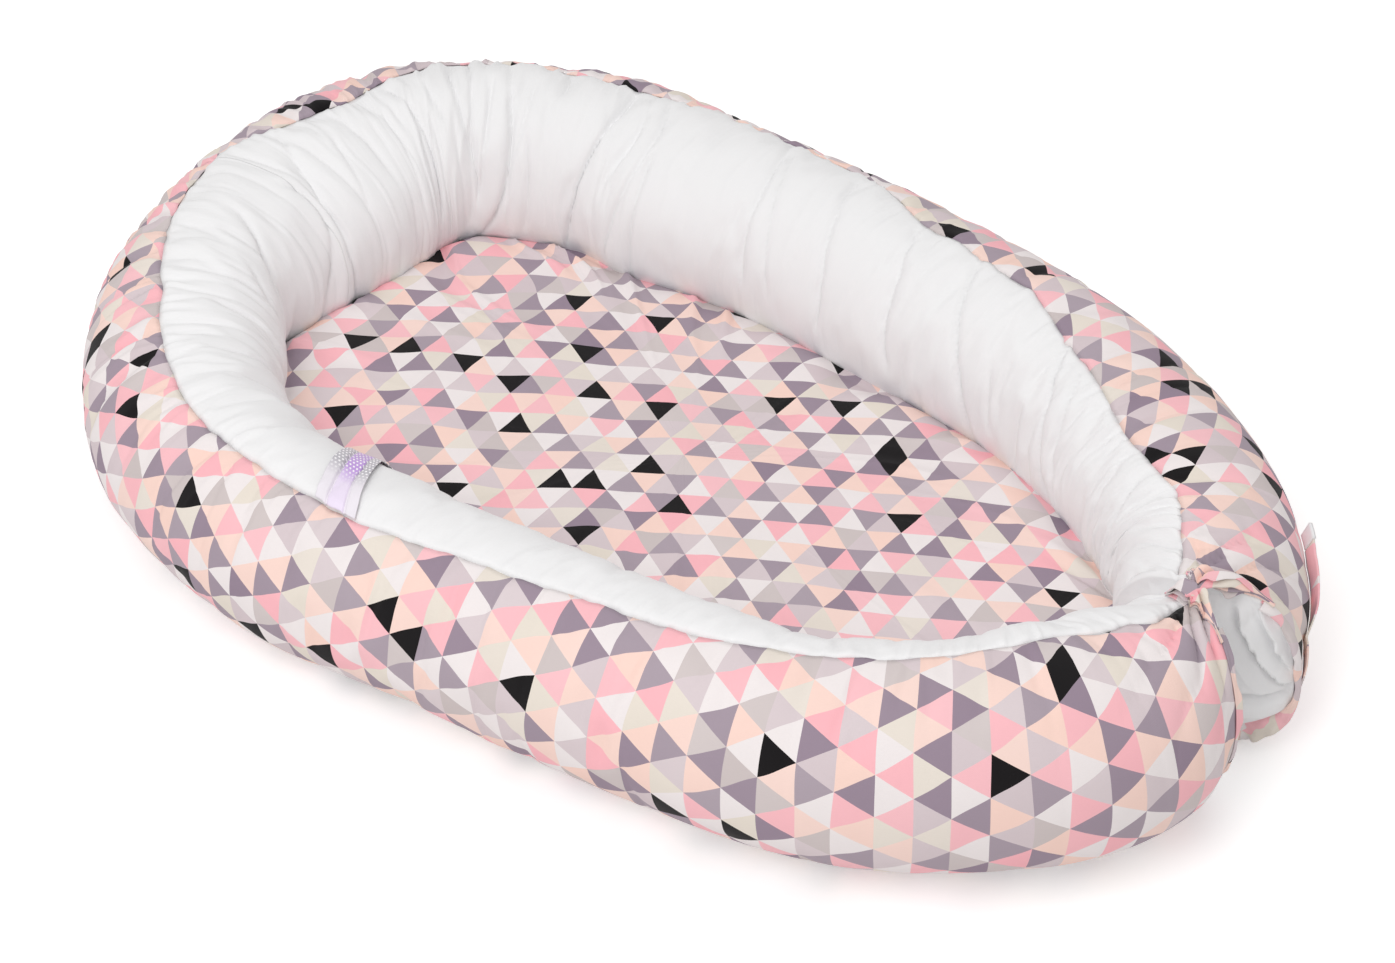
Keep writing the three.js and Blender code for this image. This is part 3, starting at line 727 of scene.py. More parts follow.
class Wire:
    """A socket on which arithmetic adds Math nodes."""

    def __init__(self, look, socket):
        self.look = look
        self.socket = socket

    def math(self, operation, *others):
        values = dict(enumerate((self, *others)))
        return self.look.add("ShaderNodeMath", {"operation": operation}, values)

    def __rsub__(self, other):
        return self.look.add("ShaderNodeMath", {"operation": "SUBTRACT"}, {0: other, 1: self})

    __add__ = __radd__ = partialmethod(math, "ADD")
    __mul__ = __rmul__ = partialmethod(math, "MULTIPLY")
    __sub__ = partialmethod(math, "SUBTRACT")
    __truediv__ = partialmethod(math, "DIVIDE")
    __mod__ = partialmethod(math, "MODULO")
    __gt__ = partialmethod(math, "GREATER_THAN")
    __lt__ = partialmethod(math, "LESS_THAN")
    floor = partialmethod(math, "FLOOR")
    fract = partialmethod(math, "FRACT")
    size = partialmethod(math, "ABSOLUTE")
    sine = partialmethod(math, "SINE")
    most = partialmethod(math, "MAXIMUM")
    least = partialmethod(math, "MINIMUM")


class Nodes:
    """The nodes of a material or world under way, with one method that adds any node."""

    def __init__(self, owner):
        self.owner = owner
        owner.use_nodes = True
        self.tree = owner.node_tree
        self.tree.nodes.clear()

    def put(self, socket, value):
        if isinstance(value, Wire):
            self.tree.links.new(value.socket, socket)
        else:
            socket.default_value = value

    def add(self, kind, settings=None, inputs=None, output=0):
        node = self.tree.nodes.new(kind)
        for key, value in (settings or {}).items():
            if key == "stops":
                self.stops(node.color_ramp, value)
            else:
                setattr(node, key, value)
        for key, value in (inputs or {}).items():
            self.put(node.inputs[key], value)
        return Wire(self, node.outputs[output])

    def stops(self, ramp, stops):
        ramp.interpolation = "CONSTANT"
        while len(ramp.elements) < len(stops):
            ramp.elements.new(0.5)
        for element, (position, colour) in zip(ramp.elements, stops):
            element.position = position
            element.color = colour

    def end(self, kind, shader):
        """Adds the output node of a kind, which shows a shader."""
        self.put(self.tree.nodes.new(kind).inputs["Surface"], shader)

    def seen(self):
        """1 for rays of the camera, straight, mirrored or through glass, and 0 for those that light."""
        path = self.add("ShaderNodeLightPath").socket.node
        rays = [Wire(self, path.outputs[f"Is {kind} Ray"]) for kind in ("Camera", "Glossy", "Transmission")]
        return rays[0].most(rays[1]).most(rays[2])


class Look(Nodes):
    """A material of cloth under way."""

    def __init__(self, name):
        super().__init__(bpy.data.materials.new(name))
        shader = self.add("ShaderNodeBsdfPrincipled")
        self.end("ShaderNodeOutputMaterial", shader)
        self.inputs = shader.socket.node.inputs

    def finish(self, **values):
        for key, value in values.items():
            name = key.replace("_", " ").title().replace("Ior", "IOR")
            self.put(self.inputs[name], value)
        return self.owner

    def split(self, vector):
        node = self.add("ShaderNodeSeparateXYZ", None, {0: vector}).socket.node
        return [Wire(self, node.outputs[k]) for k in range(3)]

    def noise(self, vector, scale, detail=2.0, roughness=0.5):
        inputs = {"Vector": vector, "Scale": scale, "Detail": detail, "Roughness": roughness}
        return self.add("ShaderNodeTexNoise", None, inputs)

    def tint(self, colour, factor, other):
        """Colour moved towards another by a factor."""
        inputs = {"Factor": factor, 6: colour, 7: other}
        return self.add("ShaderNodeMix", {"data_type": "RGBA"}, inputs, 2)

    def shade(self, colour, value):
        """Colour times a grey value."""
        grey = self.add("ShaderNodeCombineColor", None, {0: value, 1: value, 2: value})
        inputs = {0: 1.0, 6: colour, 7: grey}
        return self.add("ShaderNodeMix", {"data_type": "RGBA", "blend_type": "MULTIPLY"}, inputs, 2)

    def bump(self, height, strength, distance):
        inputs = {"Strength": strength, "Distance": distance, "Height": height}
        return self.add("ShaderNodeBump", None, inputs)

    def cloth(self):
        """The piece's own measure of its cloth in metres, along it and across it."""
        uv = self.add("ShaderNodeUVMap", {"uv_map": "Cloth"})
        u, v, _ = self.split(uv)
        return uv, u, v

    def streaks(self, uv, along, across, detail, roughness=0.5):
        """Noise stretched on the cloth, with so many values a metre each way."""
        stretched = self.add("ShaderNodeMapping", None, {0: uv, 3: (along, across, 1.0)})
        return self.noise(stretched, 1.0, detail, roughness)

    def wrinkles(self, uv, along, across):
        """Height of fine wrinkles, as strong as the piece's gather attribute says."""
        gather = self.add("ShaderNodeAttribute", {"attribute_name": "gather"}, None, 2)
        return self.streaks(uv, along, across, 2.0, 0.6) * gather

    def weave(self, u, v, pitch):
        """Height of a plain weave: threads that pass over and under each other."""
        turn = 2 * math.pi / pitch
        warp, weft = (u * turn).sine(), (v * turn).sine()
        slub = self.noise(self.add("ShaderNodeUVMap", {"uv_map": "Cloth"}), 900.0)
        return warp * weft * 0.5 + slub


def linear(colour):
    """A colour as it looks on screen, from 0 to 255, as the values that Blender works in."""
    c = np.array(colour) / 255
    low = c <= 0.04045
    return tuple(np.where(low, c / 12.92, ((c + 0.055) / 1.055) ** 2.4)) + (1.0,)


def triangle_inks(look, u, v, colours):
    """Colours of an even net of triangles, each drawn from another family than its neighbours' colours.

    A black triangle or a paler tone is drawn on top of that, for a few of them.
    """
    side = colours.triangle_side
    across = u / (side * math.sqrt(3) / 2)
    up = v / side - across * 0.5
    upper = (across.fract() + up.fract()) > 1.0
    column, row = across.floor() + 0.5, up.floor() + 0.5

    def draw(i, j, k):
        cell = look.add("ShaderNodeCombineXYZ", None, {0: i, 1: j, 2: k})
        return look.add("ShaderNodeTexWhiteNoise", {"noise_dimensions": "3D"}, {"Vector": cell})

    # Two tones a family, the same for all but the last one
    even = (colours.pink, colours.off_white, colours.purple, colours.peach, colours.lilac_grey)
    palette = [colour for colour in even for _ in range(2)] + [colours.warm_grey, colours.cream]
    count = len(palette) // 2
    places = ((column, row), (column - 1.0, row), (column, row - 1.0))
    above = [(draw(i, j, 1.5) * count).floor() for i, j in places]
    below = (draw(column, row, 0.5) * count).floor()
    for _ in above:
        taken = (below - above[0]).size() < 0.5
        for other in above[1:]:
            taken = taken.most((below - other).size() < 0.5)
        below = (below + taken) % count
    family = below + (above[0] - below) * upper
    tone = draw(column, row, upper + 2.5) > 0.5
    stops = [(k / len(palette), (*colour, 1.0)) for k, colour in enumerate(palette)]
    ink = look.add("ShaderNodeValToRGB", {"stops": stops}, {0: (family * 2 + tone + 0.5) / len(palette)})
    ink = look.tint(ink, draw(column, row, upper + 6.5) * 0.22, (*colours.off_white, 1.0))
    black = draw(column, row, upper + 4.5) < 0.05
    return look.tint(ink, black, (*colours.black, 1.0))


def print_look(look):
    """Cotton printed with triangles."""
    uv, u, v = look.cloth()
    ink = triangle_inks(look, u, v, colours())
    cloud = look.noise(uv, 26.0, 3.0)
    thread = look.streaks(uv, 300.0, 2200.0, 1.0)
    colour = look.shade(ink, 0.95 + cloud * 0.06 + thread * 0.04)
    height = look.wrinkles(uv, 170.0, 16.0) + look.weave(u, v, 1.1 * MM) * 0.04
    return look.finish(
        base_color=colour,
        roughness=0.8 + cloud * 0.14,
        normal=look.bump(height, 0.6, 1.6 * MM),
        sheen_weight=0.05,
        sheen_roughness=0.6,
        specular_ior_level=0.16,
    )


def white_look(look):
    """White cotton sateen, with a faint sheen, fine weave and long soft float threads."""
    uv, u, v = look.cloth()
    cloud = look.noise(uv, 17.0, 3.0)
    thread = look.streaks(uv, 1500.0, 120.0, 2.0)
    colour = look.shade((*colours().white, 1.0), 0.965 + cloud * 0.03 + thread * 0.03)
    height = look.wrinkles(uv, 210.0, 14.0) + (look.weave(u, v, 0.9 * MM) + thread * 1.2) * 0.03
    return look.finish(
        base_color=colour,
        roughness=0.56 + cloud * 0.16,
        normal=look.bump(height, 0.7, 1.5 * MM),
        sheen_weight=0.1,
        sheen_roughness=0.5,
        specular_ior_level=0.3,
    )


def wadding_look(look):
    """Loose polyester stuffing."""
    fluff = look.noise(look.add("ShaderNodeTexCoord", None, None, "Object"), 160.0, 6.0, 0.7)
    colour = look.shade(linear((243, 241, 236)), 0.9 + fluff * 0.12)
    return look.finish(
        base_color=colour,
        roughness=0.95,
        normal=look.bump(fluff, 0.6, 2 * MM),
        sheen_weight=0.3,
    )


def satin_look(look):
    """Satin ribbon: silver-grey edges, a pale violet middle stripe, small white dots, and a painted
    highlight: its lower end is painted near-white for the satin's sheen, without dots.
    """
    chosen = colours()
    uv, u, v = look.cloth()
    stripe = u.size() < (chosen.ribbon_width / 2 * 0.4)
    rib = look.streaks(uv, 2600.0, 60.0, 1.0)
    plain = look.tint((*chosen.ribbon_edge, 1.0), stripe, (*chosen.ribbon_stripe, 1.0))
    # Painted highlight: upper is 0 on the ribbon's lower end, which is painted 72% of the way to near-white
    # for the satin's sheen, and 1 above it
    upper = ((v - 0.019) / 0.016).most(0.0).least(1.0)
    base = look.tint(look.tint(plain, 0.72, linear((252, 246, 254))), upper, plain)
    pitch = 3.2 * MM
    row = v / pitch
    odd = (row.floor() * 0.5).fract()
    x = (u / pitch + odd).fract() - 0.5
    y = row.fract() - 0.5
    dot = (x * x + y * y) < 0.075
    # The white dots are drawn only above the painted highlight
    colour = look.tint(base, dot * upper, linear((252, 250, 253)))
    colour = look.shade(colour, 0.95 + rib * 0.08)
    return look.finish(
        base_color=colour,
        roughness=0.28 + rib * 0.16 + dot * 0.25,
        normal=look.bump(rib + dot * 0.6, 0.12, 0.3 * MM),
        specular_ior_level=0.6,
        sheen_weight=0.15,
    )


# Settings a user would change


def colour_property(name, shown, description):
    kind = {"subtype": "COLOR", "size": 3, "min": 0.0, "max": 1.0}
    return FloatVectorProperty(name=name, description=description, default=linear(shown)[:3], **kind)


def number_property(name, shown, lowest, description, unit="LENGTH"):
    return FloatProperty(name=name, description=description, default=shown, min=lowest, unit=unit)


class LoungerColours(bpy.types.PropertyGroup):
    pink: colour_property("Pink", (250, 184, 192), "Pink triangles of the print")
    peach: colour_property("Peach", (248, 214, 202), "Peach triangles of the print")
    warm_grey: colour_property("Warm grey", (204, 193, 192), "Warm grey triangles of the print")
    lilac_grey: colour_property("Lilac grey", (213, 199, 203), "Lilac grey triangles of the print")
    purple: colour_property("Purple", (150, 133, 149), "Dusty purple triangles of the print")
    off_white: colour_property("Off-white", (238, 231, 231), "Palest triangles of the print")
    cream: colour_property("Cream", (230, 221, 209), "Cream triangles of the print")
    black: colour_property("Black", (18, 15, 17), "Black triangles of the print")
    white: colour_property("White", (240, 240, 241), "White cotton of the inner side")
    ribbon_edge: colour_property("Ribbon edge", (184, 181, 189), "Silver-grey edges of the ribbon")
    ribbon_stripe: colour_property("Ribbon stripe", (190, 150, 222), "Middle stripe of the ribbon")
    triangle_side: number_property("Triangle side", 23.2 * MM, 5 * MM, "Side of one triangle of the print")
    ribbon_width: number_property("Ribbon width", 33 * MM, 10 * MM, "Width of the satin ribbon")


class LoungerSizes(bpy.types.PropertyGroup):
    step: number_property("Mesh step", 1.3 * MM, 1 * MM, "Distance between points along the roll")
    round_step: number_property("Mesh step round", 4.2 * MM, 1 * MM, "Distance between points round it")
    pressure: number_property("Stuffing pressure", 4.0, 0, "How hard it presses the cloth out", "NONE")
    most_move: number_property("Most move", 8 * MM, 0, "How far a point of the cloth may settle")
    mattress_crown: number_property("Mattress crown", 11 * MM, 0, "Height of its middle over its edge")


def colours():
    return bpy.context.scene.lounger_colours


def sizes():
    return bpy.context.scene.lounger_sizes


# Each slot's material and what builds it
LOOKS = {
    "print_cotton": ("printed cotton", print_look),
    "white_cotton": ("white sateen", white_look),
    "wadding": ("loose wadding", wadding_look),
    "satin": ("satin weave", satin_look),
}


def dress(obj, slot):
    """Gives a piece the material of its slot."""
    name, build = LOOKS[slot]
    obj.data.materials.append(bpy.data.materials.get(name) or build(Look(name)))
    return obj


# The two halves of the long pieces: shares of the route, the arm's body, and where the bend starts and ends
HALVES = {
    "front": (0.0, SPLIT, "front_arm", (0.02, -0.2, 0.06), (0.18, -0.2, 0.06)),
    "back": (SPLIT, 1.0, "back_arm", (0.02, 0.2, 0.06), (0.18, 0.2, 0.06)),
}


def half_shares(half, step):
    low, high = HALVES[half][:2]
    return np.linspace(low, high, int(round((high - low) * TOTAL / step)) + 1)


def bend(obj):
    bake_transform(obj)


def spare_print(share):
    """Printed cloth to a length of roll: a little gathered round the head, stretched by the near mouth."""
    return 1 + 0.05 * headness(share) - 0.12 * smooth((0.36 - share) / 0.22)


def outer_run(share):
    """Length of printed cloth along the outer side of the roll."""
    shares = np.linspace(0, 1, ROUTE_SAMPLES + 1)
    at = Section(shares)
    path = at.centre + at.outward * at.half_width[:, None] * 0.85
    steps = np.hypot(*np.diff(path, axis=0).T) * spare_print(shares[1:])
    return np.interp(share, shares, lengths(steps))


def round_grid(low, high, count):
    """Angles in even steps between two for each section."""
    return low[:, None] + (high - low)[:, None] * np.linspace(0, 1, count + 1)[None]


class LOUNGER_OT_stuffing(bpy.types.Operator):
    """Adds the stuffing of the roll, in two lengths"""

    bl_idname = "lounger.stuffing"
    bl_label = "Stuffing"

    def execute(self, context):
        for half in HALVES:
            at = Section(half_shares(half, STUFFING_STEP))
            angles = np.linspace(UNDER_OUTSIDE, UNDER_INSIDE, STUFFING_SIDES)[None].repeat(len(at.share), 0)
            rings = at.points(angles, stuffing_lift(at, angles))
            body = dress(closed_rings(f"roll_stuffing_{half}", rings), "wadding")
            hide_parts("head_filling", f"{HALVES[half][2]}_filling")
            bend(body)
        return {"FINISHED"}


def settled_cover(lift, edges, ease, most, pressure, cap):
    """How one whole cover moves when its cloth buckles over the stuffing, on a coarse grid."""
    at = Section(np.linspace(0, 1, int(round(TOTAL / SETTLE_STEP)) + 1))
    angles = round_grid(*edges(at), int(round(1.02 * HALF_ROUND / SETTLE_STEP)))
    points = at.points(angles, lift(at, angles))
    held = np.zeros(angles.shape)
    held[[0, -1]] = held[:, [0, -1]] = 1
    return settle(points, ease(at, angles), held, pressure, most, cap)


# Each cover's moves, once it has settled
SETTLED = {}


def moved(cloth, edges, at, angle):
    """How a settled cover moves at one angle for each section."""
    moves = SETTLED.get(cloth)
    if moves is None:
        return np.zeros((len(at.share), 1, 3))
    low, high = edges(at)
    row = np.clip(at.share * (len(moves) - 1), 0, len(moves) - 1.001)
    column = np.clip((angle[:, 0] - low) / (high - low) * (moves.shape[1] - 1), 0, moves.shape[1] - 1.001)
    i, j = row.astype(int), column.astype(int)
    u, v = (row - i)[:, None], (column - j)[:, None]
    near = moves[i, j] * (1 - u) + moves[i + 1, j] * u
    far = moves[i, j + 1] * (1 - u) + moves[i + 1, j + 1] * u
    return (near * (1 - v) + far * v)[:, None]


# How far each cover's edge stays from the seam
SEAM_GAP = 0.15 * MM


def white_edges(at):
    return at.seam[:, 0] + SEAM_GAP / at.half_height, np.full(len(at.share), UNDER_INSIDE)


def print_edges(at):
    return np.full(len(at.share), UNDER_OUTSIDE), at.seam[:, 0] - SEAM_GAP / at.half_height


def white_ease(at, angles):
    """Most spare cloth where the roll bends, and none where the mattress presses on it."""
    rise = at.tall * (1 + np.sin(angles))
    return (0.25 + 0.75 * at.crowd) * np.where(np.cos(angles) < 0, smooth((rise - 0.03) / 0.035), 1)


def print_ease(at, angles):
    """Most spare cloth by the seam, which gathers it."""
    low = smooth((at.tall * (1 + np.sin(angles)) - 0.01) / 0.03)
    return (0.15 + (0.35 + 0.5 * at.head) * np.exp(-((at.seam - angles) * at.tall) / 0.06)) * low


def white_gather(at, angles):
    """How strongly the seam's stitches wrinkle the white cloth."""
    return (0.25 + 0.75 * at.crowd) * (0.12 + 0.88 * np.exp(-((angles - at.seam) * at.tall) / 0.034))


def print_gather(at, angles):
    """How strongly the seam's stitches and the drawn mouths wrinkle the printed cloth."""
    seam = (0.3 + 0.7 * at.head) * (0.08 + 0.92 * np.exp(-((at.seam - angles) * at.tall) / 0.036))
    return np.maximum(seam, 0.5 * np.abs(pinch_folds(at, angles)))


# Most spare cloth that a cover is cut with, as a share of its size
MOST_SPARE = 0.06

# Each cover's node, lift, edges, share of the spare cloth, wrinkling and slot
COVERS = {
    "white": ("inner_cover", white_lift, white_edges, white_ease, white_gather, "white_cotton"),
    "print": ("outer_cover", print_lift, print_edges, print_ease, print_gather, "print_cotton"),
}


class LOUNGER_OT_covers(bpy.types.Operator):
    """Adds the white and the printed cloth of the roll"""

    bl_idname = "lounger.covers"
    bl_label = "Roll covers"

    def execute(self, context):
        settings = sizes()
        for cloth, (node, lift, edges, ease, gather, slot) in COVERS.items():
            moves = settled_cover(lift, edges, ease, MOST_SPARE, settings.pressure, settings.most_move)
            SETTLED[cloth] = moves
            for half in HALVES:
                at = Section(half_shares(half, settings.step))
                count = int(round(1.05 * HALF_ROUND / settings.round_step))
                angles = round_grid(*edges(at), count)
                lifts = lift(at, angles)
                columns = np.linspace(0, moves.shape[1] - 1, count + 1)
                move = resample(moves, at.share * (len(moves) - 1), columns)
                out = at.outwards(angles)
                lowest = stuffing_lift(at, angles) + CLOTH + COVER_ROOM
                sunk = np.maximum(0, lowest - lifts - (move * unit(out)).sum(-1))
                points = at.points(angles, lifts) + move + unit(out) * sunk[..., None]
                run, spare = at.way, 1.0
                if cloth == "print":
                    run, spare = outer_run(at.share)[:, None], spare_print(at.share)[:, None]
                v = angles * at.tall * spare
                bunch = (2.4 + 2.2 * at.head) * MM * ripple(run / 0.024, v / 0.05, 47, 2)
                bunch = bunch + 4.5 * MM * pinch_folds(at, angles)
                uvs = pairs(run + bunch, v + bunch * 0.5)
                name = f"roll_{cloth}_{half}"
                piece = cloth_shell(name, points, uvs, CLOTH, out, gather=gather(at, angles))
                dress(piece, slot)
                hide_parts(f"head_{node}", f"{HALVES[half][2]}_{node}")
                bend(piece)
        return {"FINISHED"}


def inner_edge(share, height, inset):
    """Line on the roll's inner side at a height over the floor, moved in towards the mattress."""
    at = Section(share)
    rise = (height - at.half_height) / at.half_height
    swell = swell_at(share) * MM
    if height < MATTRESS_LOW:
        swell = np.maximum(swell, 0)
    reach = at.inner_width * np.sqrt(np.maximum(0, 1 - rise**2)) + inset + 0.95 * swell
    return at.centre + at.inward * reach[:, None]


class LOUNGER_OT_mattress(bpy.types.Operator):
    """Adds the padded mattress in its printed cover"""

    bl_idname = "lounger.mattress"
    bl_label = "Mattress"

    def execute(self, context):
        share = np.linspace(0.004, 0.996, MATTRESS_COLUMNS)
        edge = inner_edge(share, MATTRESS_EDGE, -2.2 * MM)
        crown = sizes().mattress_crown
        far = np.linalg.norm(edge, axis=1)
        run = share[:, None] * TOTAL
        most = (3.6 + 1.8 * headness(share[:, None])) * MM
        aim = unit(edge)
        rings, cloth = [], []
        middle, border = MATTRESS_RINGS
        for t in np.concatenate([np.linspace(0.995, 0.12, middle), np.linspace(0.11, 0.0, border)]):
            out = 1 - t
            flat = edge * out
            x, y = flat[:, :1], flat[:, 1:]
            dist = (far * t)[:, None]
            wave = ripple(x / 0.10, y / 0.085, 51, 2) * 5.6 * MM
            bow = run / 0.036 + 0.6 * noise(run / 0.07, dist / 0.05, 54)
            pucker = ridges(bow, dist / 0.11, 52) * most * np.exp(-dist / 0.05)
            small = ripple(x / 0.042, y / 0.036, 53, 2) * 1.3 * MM
            fall = 7 * MM * np.exp(-dist / 0.011)
            height = MATTRESS_EDGE + 5 * MM + crown * np.sin(HALF_TURN / 2 * t) * 0.8 - fall
            rings.append(np.hstack([flat, height + (wave + pucker + small) * smooth(dist / 0.012)]))
            slip = np.hstack([ripple(x / 0.055, y / 0.055, seed, 2) for seed in (55, 56)])
            by_head = smooth((-0.05 - x) / 0.2)
            cloth.append(flat + slip * (3.2 + 6.0 * np.exp(-dist / 0.07) + 2.5 * by_head) * MM)
        for inset, height in MATTRESS_SIDE:
            level = inner_edge(share, height * MM, 0.6 * MM + inset * 0.2 * MM)
            keep = edge - aim * inset * MM
            nearer = np.linalg.norm(level, axis=1) < np.linalg.norm(keep, axis=1)
            flat = np.where(nearer[:, None], level, keep)
            rings.append(at_height(flat, height * MM))
            cloth.append(edge + aim * (MATTRESS_EDGE - height * MM))
        rings.append(at_height(rings[-1][:, :2] * 0.6, 3.0 * MM))
        cloth.append(cloth[-1] * 0.6)
        pad = closed_rings("mattress", np.array(rings), np.array(cloth))
        dress(pad, "print_cotton")
        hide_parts("mattress_filling", "mattress_cover")
        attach(pad, "nest")
        return {"FINISHED"}


class LOUNGER_OT_base(bpy.types.Operator):
    """Adds the base cloth that closes the underside"""

    bl_idname = "lounger.base"
    bl_label = "Base cloth"

    def execute(self, context):
        at = Section(np.linspace(0, 1, BASE_COLUMNS))
        edge = at.centre + at.outward * at.half_width[:, None] * BASE_REACH
        rows = np.linspace(0.0, 1.0, BASE_ROWS)[1:]
        points = np.array([at_height(edge * t, BASE_HEIGHT) for t in rows])
        base = cloth_shell("base_cloth", points, points[..., :2].copy(), CLOTH, UP, wrap=True)
        dress(base, "print_cotton")
        declare_round(points)
        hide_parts("base_panel")
        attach(base, "nest")
        return {"FINISHED"}


class Mouth:
    """One arm's end at the foot, with points measured from its ring of cloth."""

    def __init__(self, share, sign):
        self.at = Section(share)
        self.share = share
        across = unit(self.at.outward - self.at.inward)[0]
        self.out = np.array([-across[1], across[0], 0.0]) * -sign
        self.sign = sign

    def points(self, angle, lift, stand):
        """Grid of points at angles, a lift off the roll's cloth and a stand out of the mouth.

        Where the stand is negative, they lie that far back along the arm.
        """
        angle, lift, stand = np.broadcast_arrays(angle, lift, stand)
        back = np.maximum(0, -stand).ravel() / TOTAL
        at = Section(self.share - self.sign * back)
        turn = wrapped(angle.reshape(-1, 1), UNDER_INSIDE)
        cover = np.where(turn < at.seam, print_lift(at, turn), white_lift(at, turn))
        spots = at.points(turn, lift.reshape(-1, 1) + cover).reshape(*angle.shape, 3)
        return spots + np.maximum(stand, 0)[..., None] * self.out

    def middle(self):
        return np.append(self.at.centre[0], self.at.half_height[0])


# Each arm's mouth: its share of the route, and which way along it the mouth looks
MOUTHS = {"front": (0.0, -1), "back": (1.0, 1)}

# Where the crest's gathers start and end, as angles on the roll
GATHER_START = math.radians(52)
GATHER_END = math.radians(98)

# Cross-section of the turned hem: stand out of the mouth and lift off the cloth, in millimetres
HEM_PROFILE = [
    (-2.8, 0.5), (-2.7, 1.0), (-1.2, 1.5), (1.2, 1.7), (3.4, 1.3), (4.5, 0.1), (4.2, -1.3), (2.7, -2.1),
    (0.9, -1.9), (0.5, -0.7), (0.4, 0.3), (-1.0, 0.45),
]

# How the end cloth turns over the white cloth's edge, and how it is tucked in under the hem: stand out of
# the mouth and lift off the cloth, in millimetres
END_LIP = [(-3.6, 0.15), (-2.4, 0.5), (-1.2, 0.6), (-0.2, 0.3), (0.6, -0.4), (1.0, -1.1)]
TUCKED_LIP = [(-1.5, -2.7), (-1.2, -2.75), (-0.9, -2.8), (-0.6, -2.8), (-0.3, -2.8), (0.0, -2.8)]

# The loose strip on the far arm and the tape over its top: name, shares of its length, rows, thickness in
# mm and slot
FLAP_PARTS = [
    ("back_arm_flap_tape", 0.0, 0.085, 9, 2.4, "white_cotton"),
    ("back_arm_loose_flap", 0.09, 1.0, 82, 1.1, "print_cotton"),
]
FLAP_LENGTH = 102 * MM

# Past this angle the end cloth's rim is under the hem again
HEM_UNDER = 4.6

# How far along the print the frills and the loose strip are cut from it
FRILL_CUT = 0.31
FLAP_CUT = 0.2

# Where the far end cloth's two long folds begin, in mm from the middle, and how far out and down they run
FAR_FOLD_START = (25, 49)
FAR_FOLD_WAY = (0.489, 0.872)

# How far each end cloth bulges, and sags lower down, in mm
END_BULGE = {"front": (5, 4), "back": (7, 9)}

# The far hem's lip at the foot: how deep it hangs, its crumple, its buckles and how far out it stands, and
# the share that is left of the near hem's stand
LIP_DEPTH = 18.5 * MM
LIP_CRUMPLE = 3.5 * MM
LIP_BUCKLE = 6.0 * MM
LIP_STAND = 2.5 * MM
NEAR_HEM_SHARE = 0.55

# Layers of each frill, then its reach, its height and how far back over the arm it starts, in millimetres,
# and the seed of its folds
FRILLS = {"front": (5, 9.0, 8.0, -9.0, 82), "back": (7, 10.5, 12.0, -3.5, 81)}


def far_tuck(angle):
    """Share of the far mouth's foot lip at an angle: none by its outer side, and whole under it."""
    return smooth((-0.3 - wrapped(angle, HALF_TURN)) / 0.6)


def far_cloth_folds(reach, high):
    """Stand of the far end cloth's loose folds: two down its outer side and one along its foot.

    q is measured across the two folds and r down along them, in mm.
    """
    x, y = reach / MM, high / MM
    (x0, y0), (across, down) = FAR_FOLD_START, FAR_FOLD_WAY
    q = (x - x0) * down + (y - y0) * across
    r = (x - x0) * across - (y - y0) * down
    q = q + 1.2 * np.sin(r / 21) - 6.0 * smooth((r - 62) / 16) + 0.7 * np.sin(r / 8)
    q = q + 4.5 * smooth((24 - r) / 40) - 3.0 * smooth((r - 35) / 30) - 1.0 * noise(r / 9, q / 30, 61)
    crumple = 1 + 0.25 * noise(r / 6, q / 12, 65)
    main = 10.0 * crest(q, 4.2, 2.2) * crumple - 6.0 * hill(q, -0.6, 1.7)
    groove = 12.5 - 4.0 * smooth(r / 60)
    second = 7.5 * crest(q - groove, 4.0, 2.6) * crumple - 6.0 * hill(q, groove, 1.5)
    faint = 1.5 * crest(q, -14, 2.4) * smooth(r / 30)
    length = smooth((r + 8) / 14) * smooth((92 - r) / 12)
    below = y + 15.5 + 1.2 * noise(x / 12, 0.5, 64)
    foot = (4.5 * hill(below, -8, 6.5, 4) - 6.0 * hill(below, 1.0, 1.7)) * smooth((x - 4) / 22)
    return ((main + second + faint) * length + foot + 1.0 * ripple(x / 11, y / 16, 62)) * MM


def near_cloth_folds(reach, high):
    """Stand of the near end cloth's folds, which slant down across it."""
    bow = high * 0.62 - reach * 0.79 + 6 * MM * np.sin(reach / 0.035)
    return 1.6 * MM * ridges(bow / 0.016, reach / 0.07, 63)


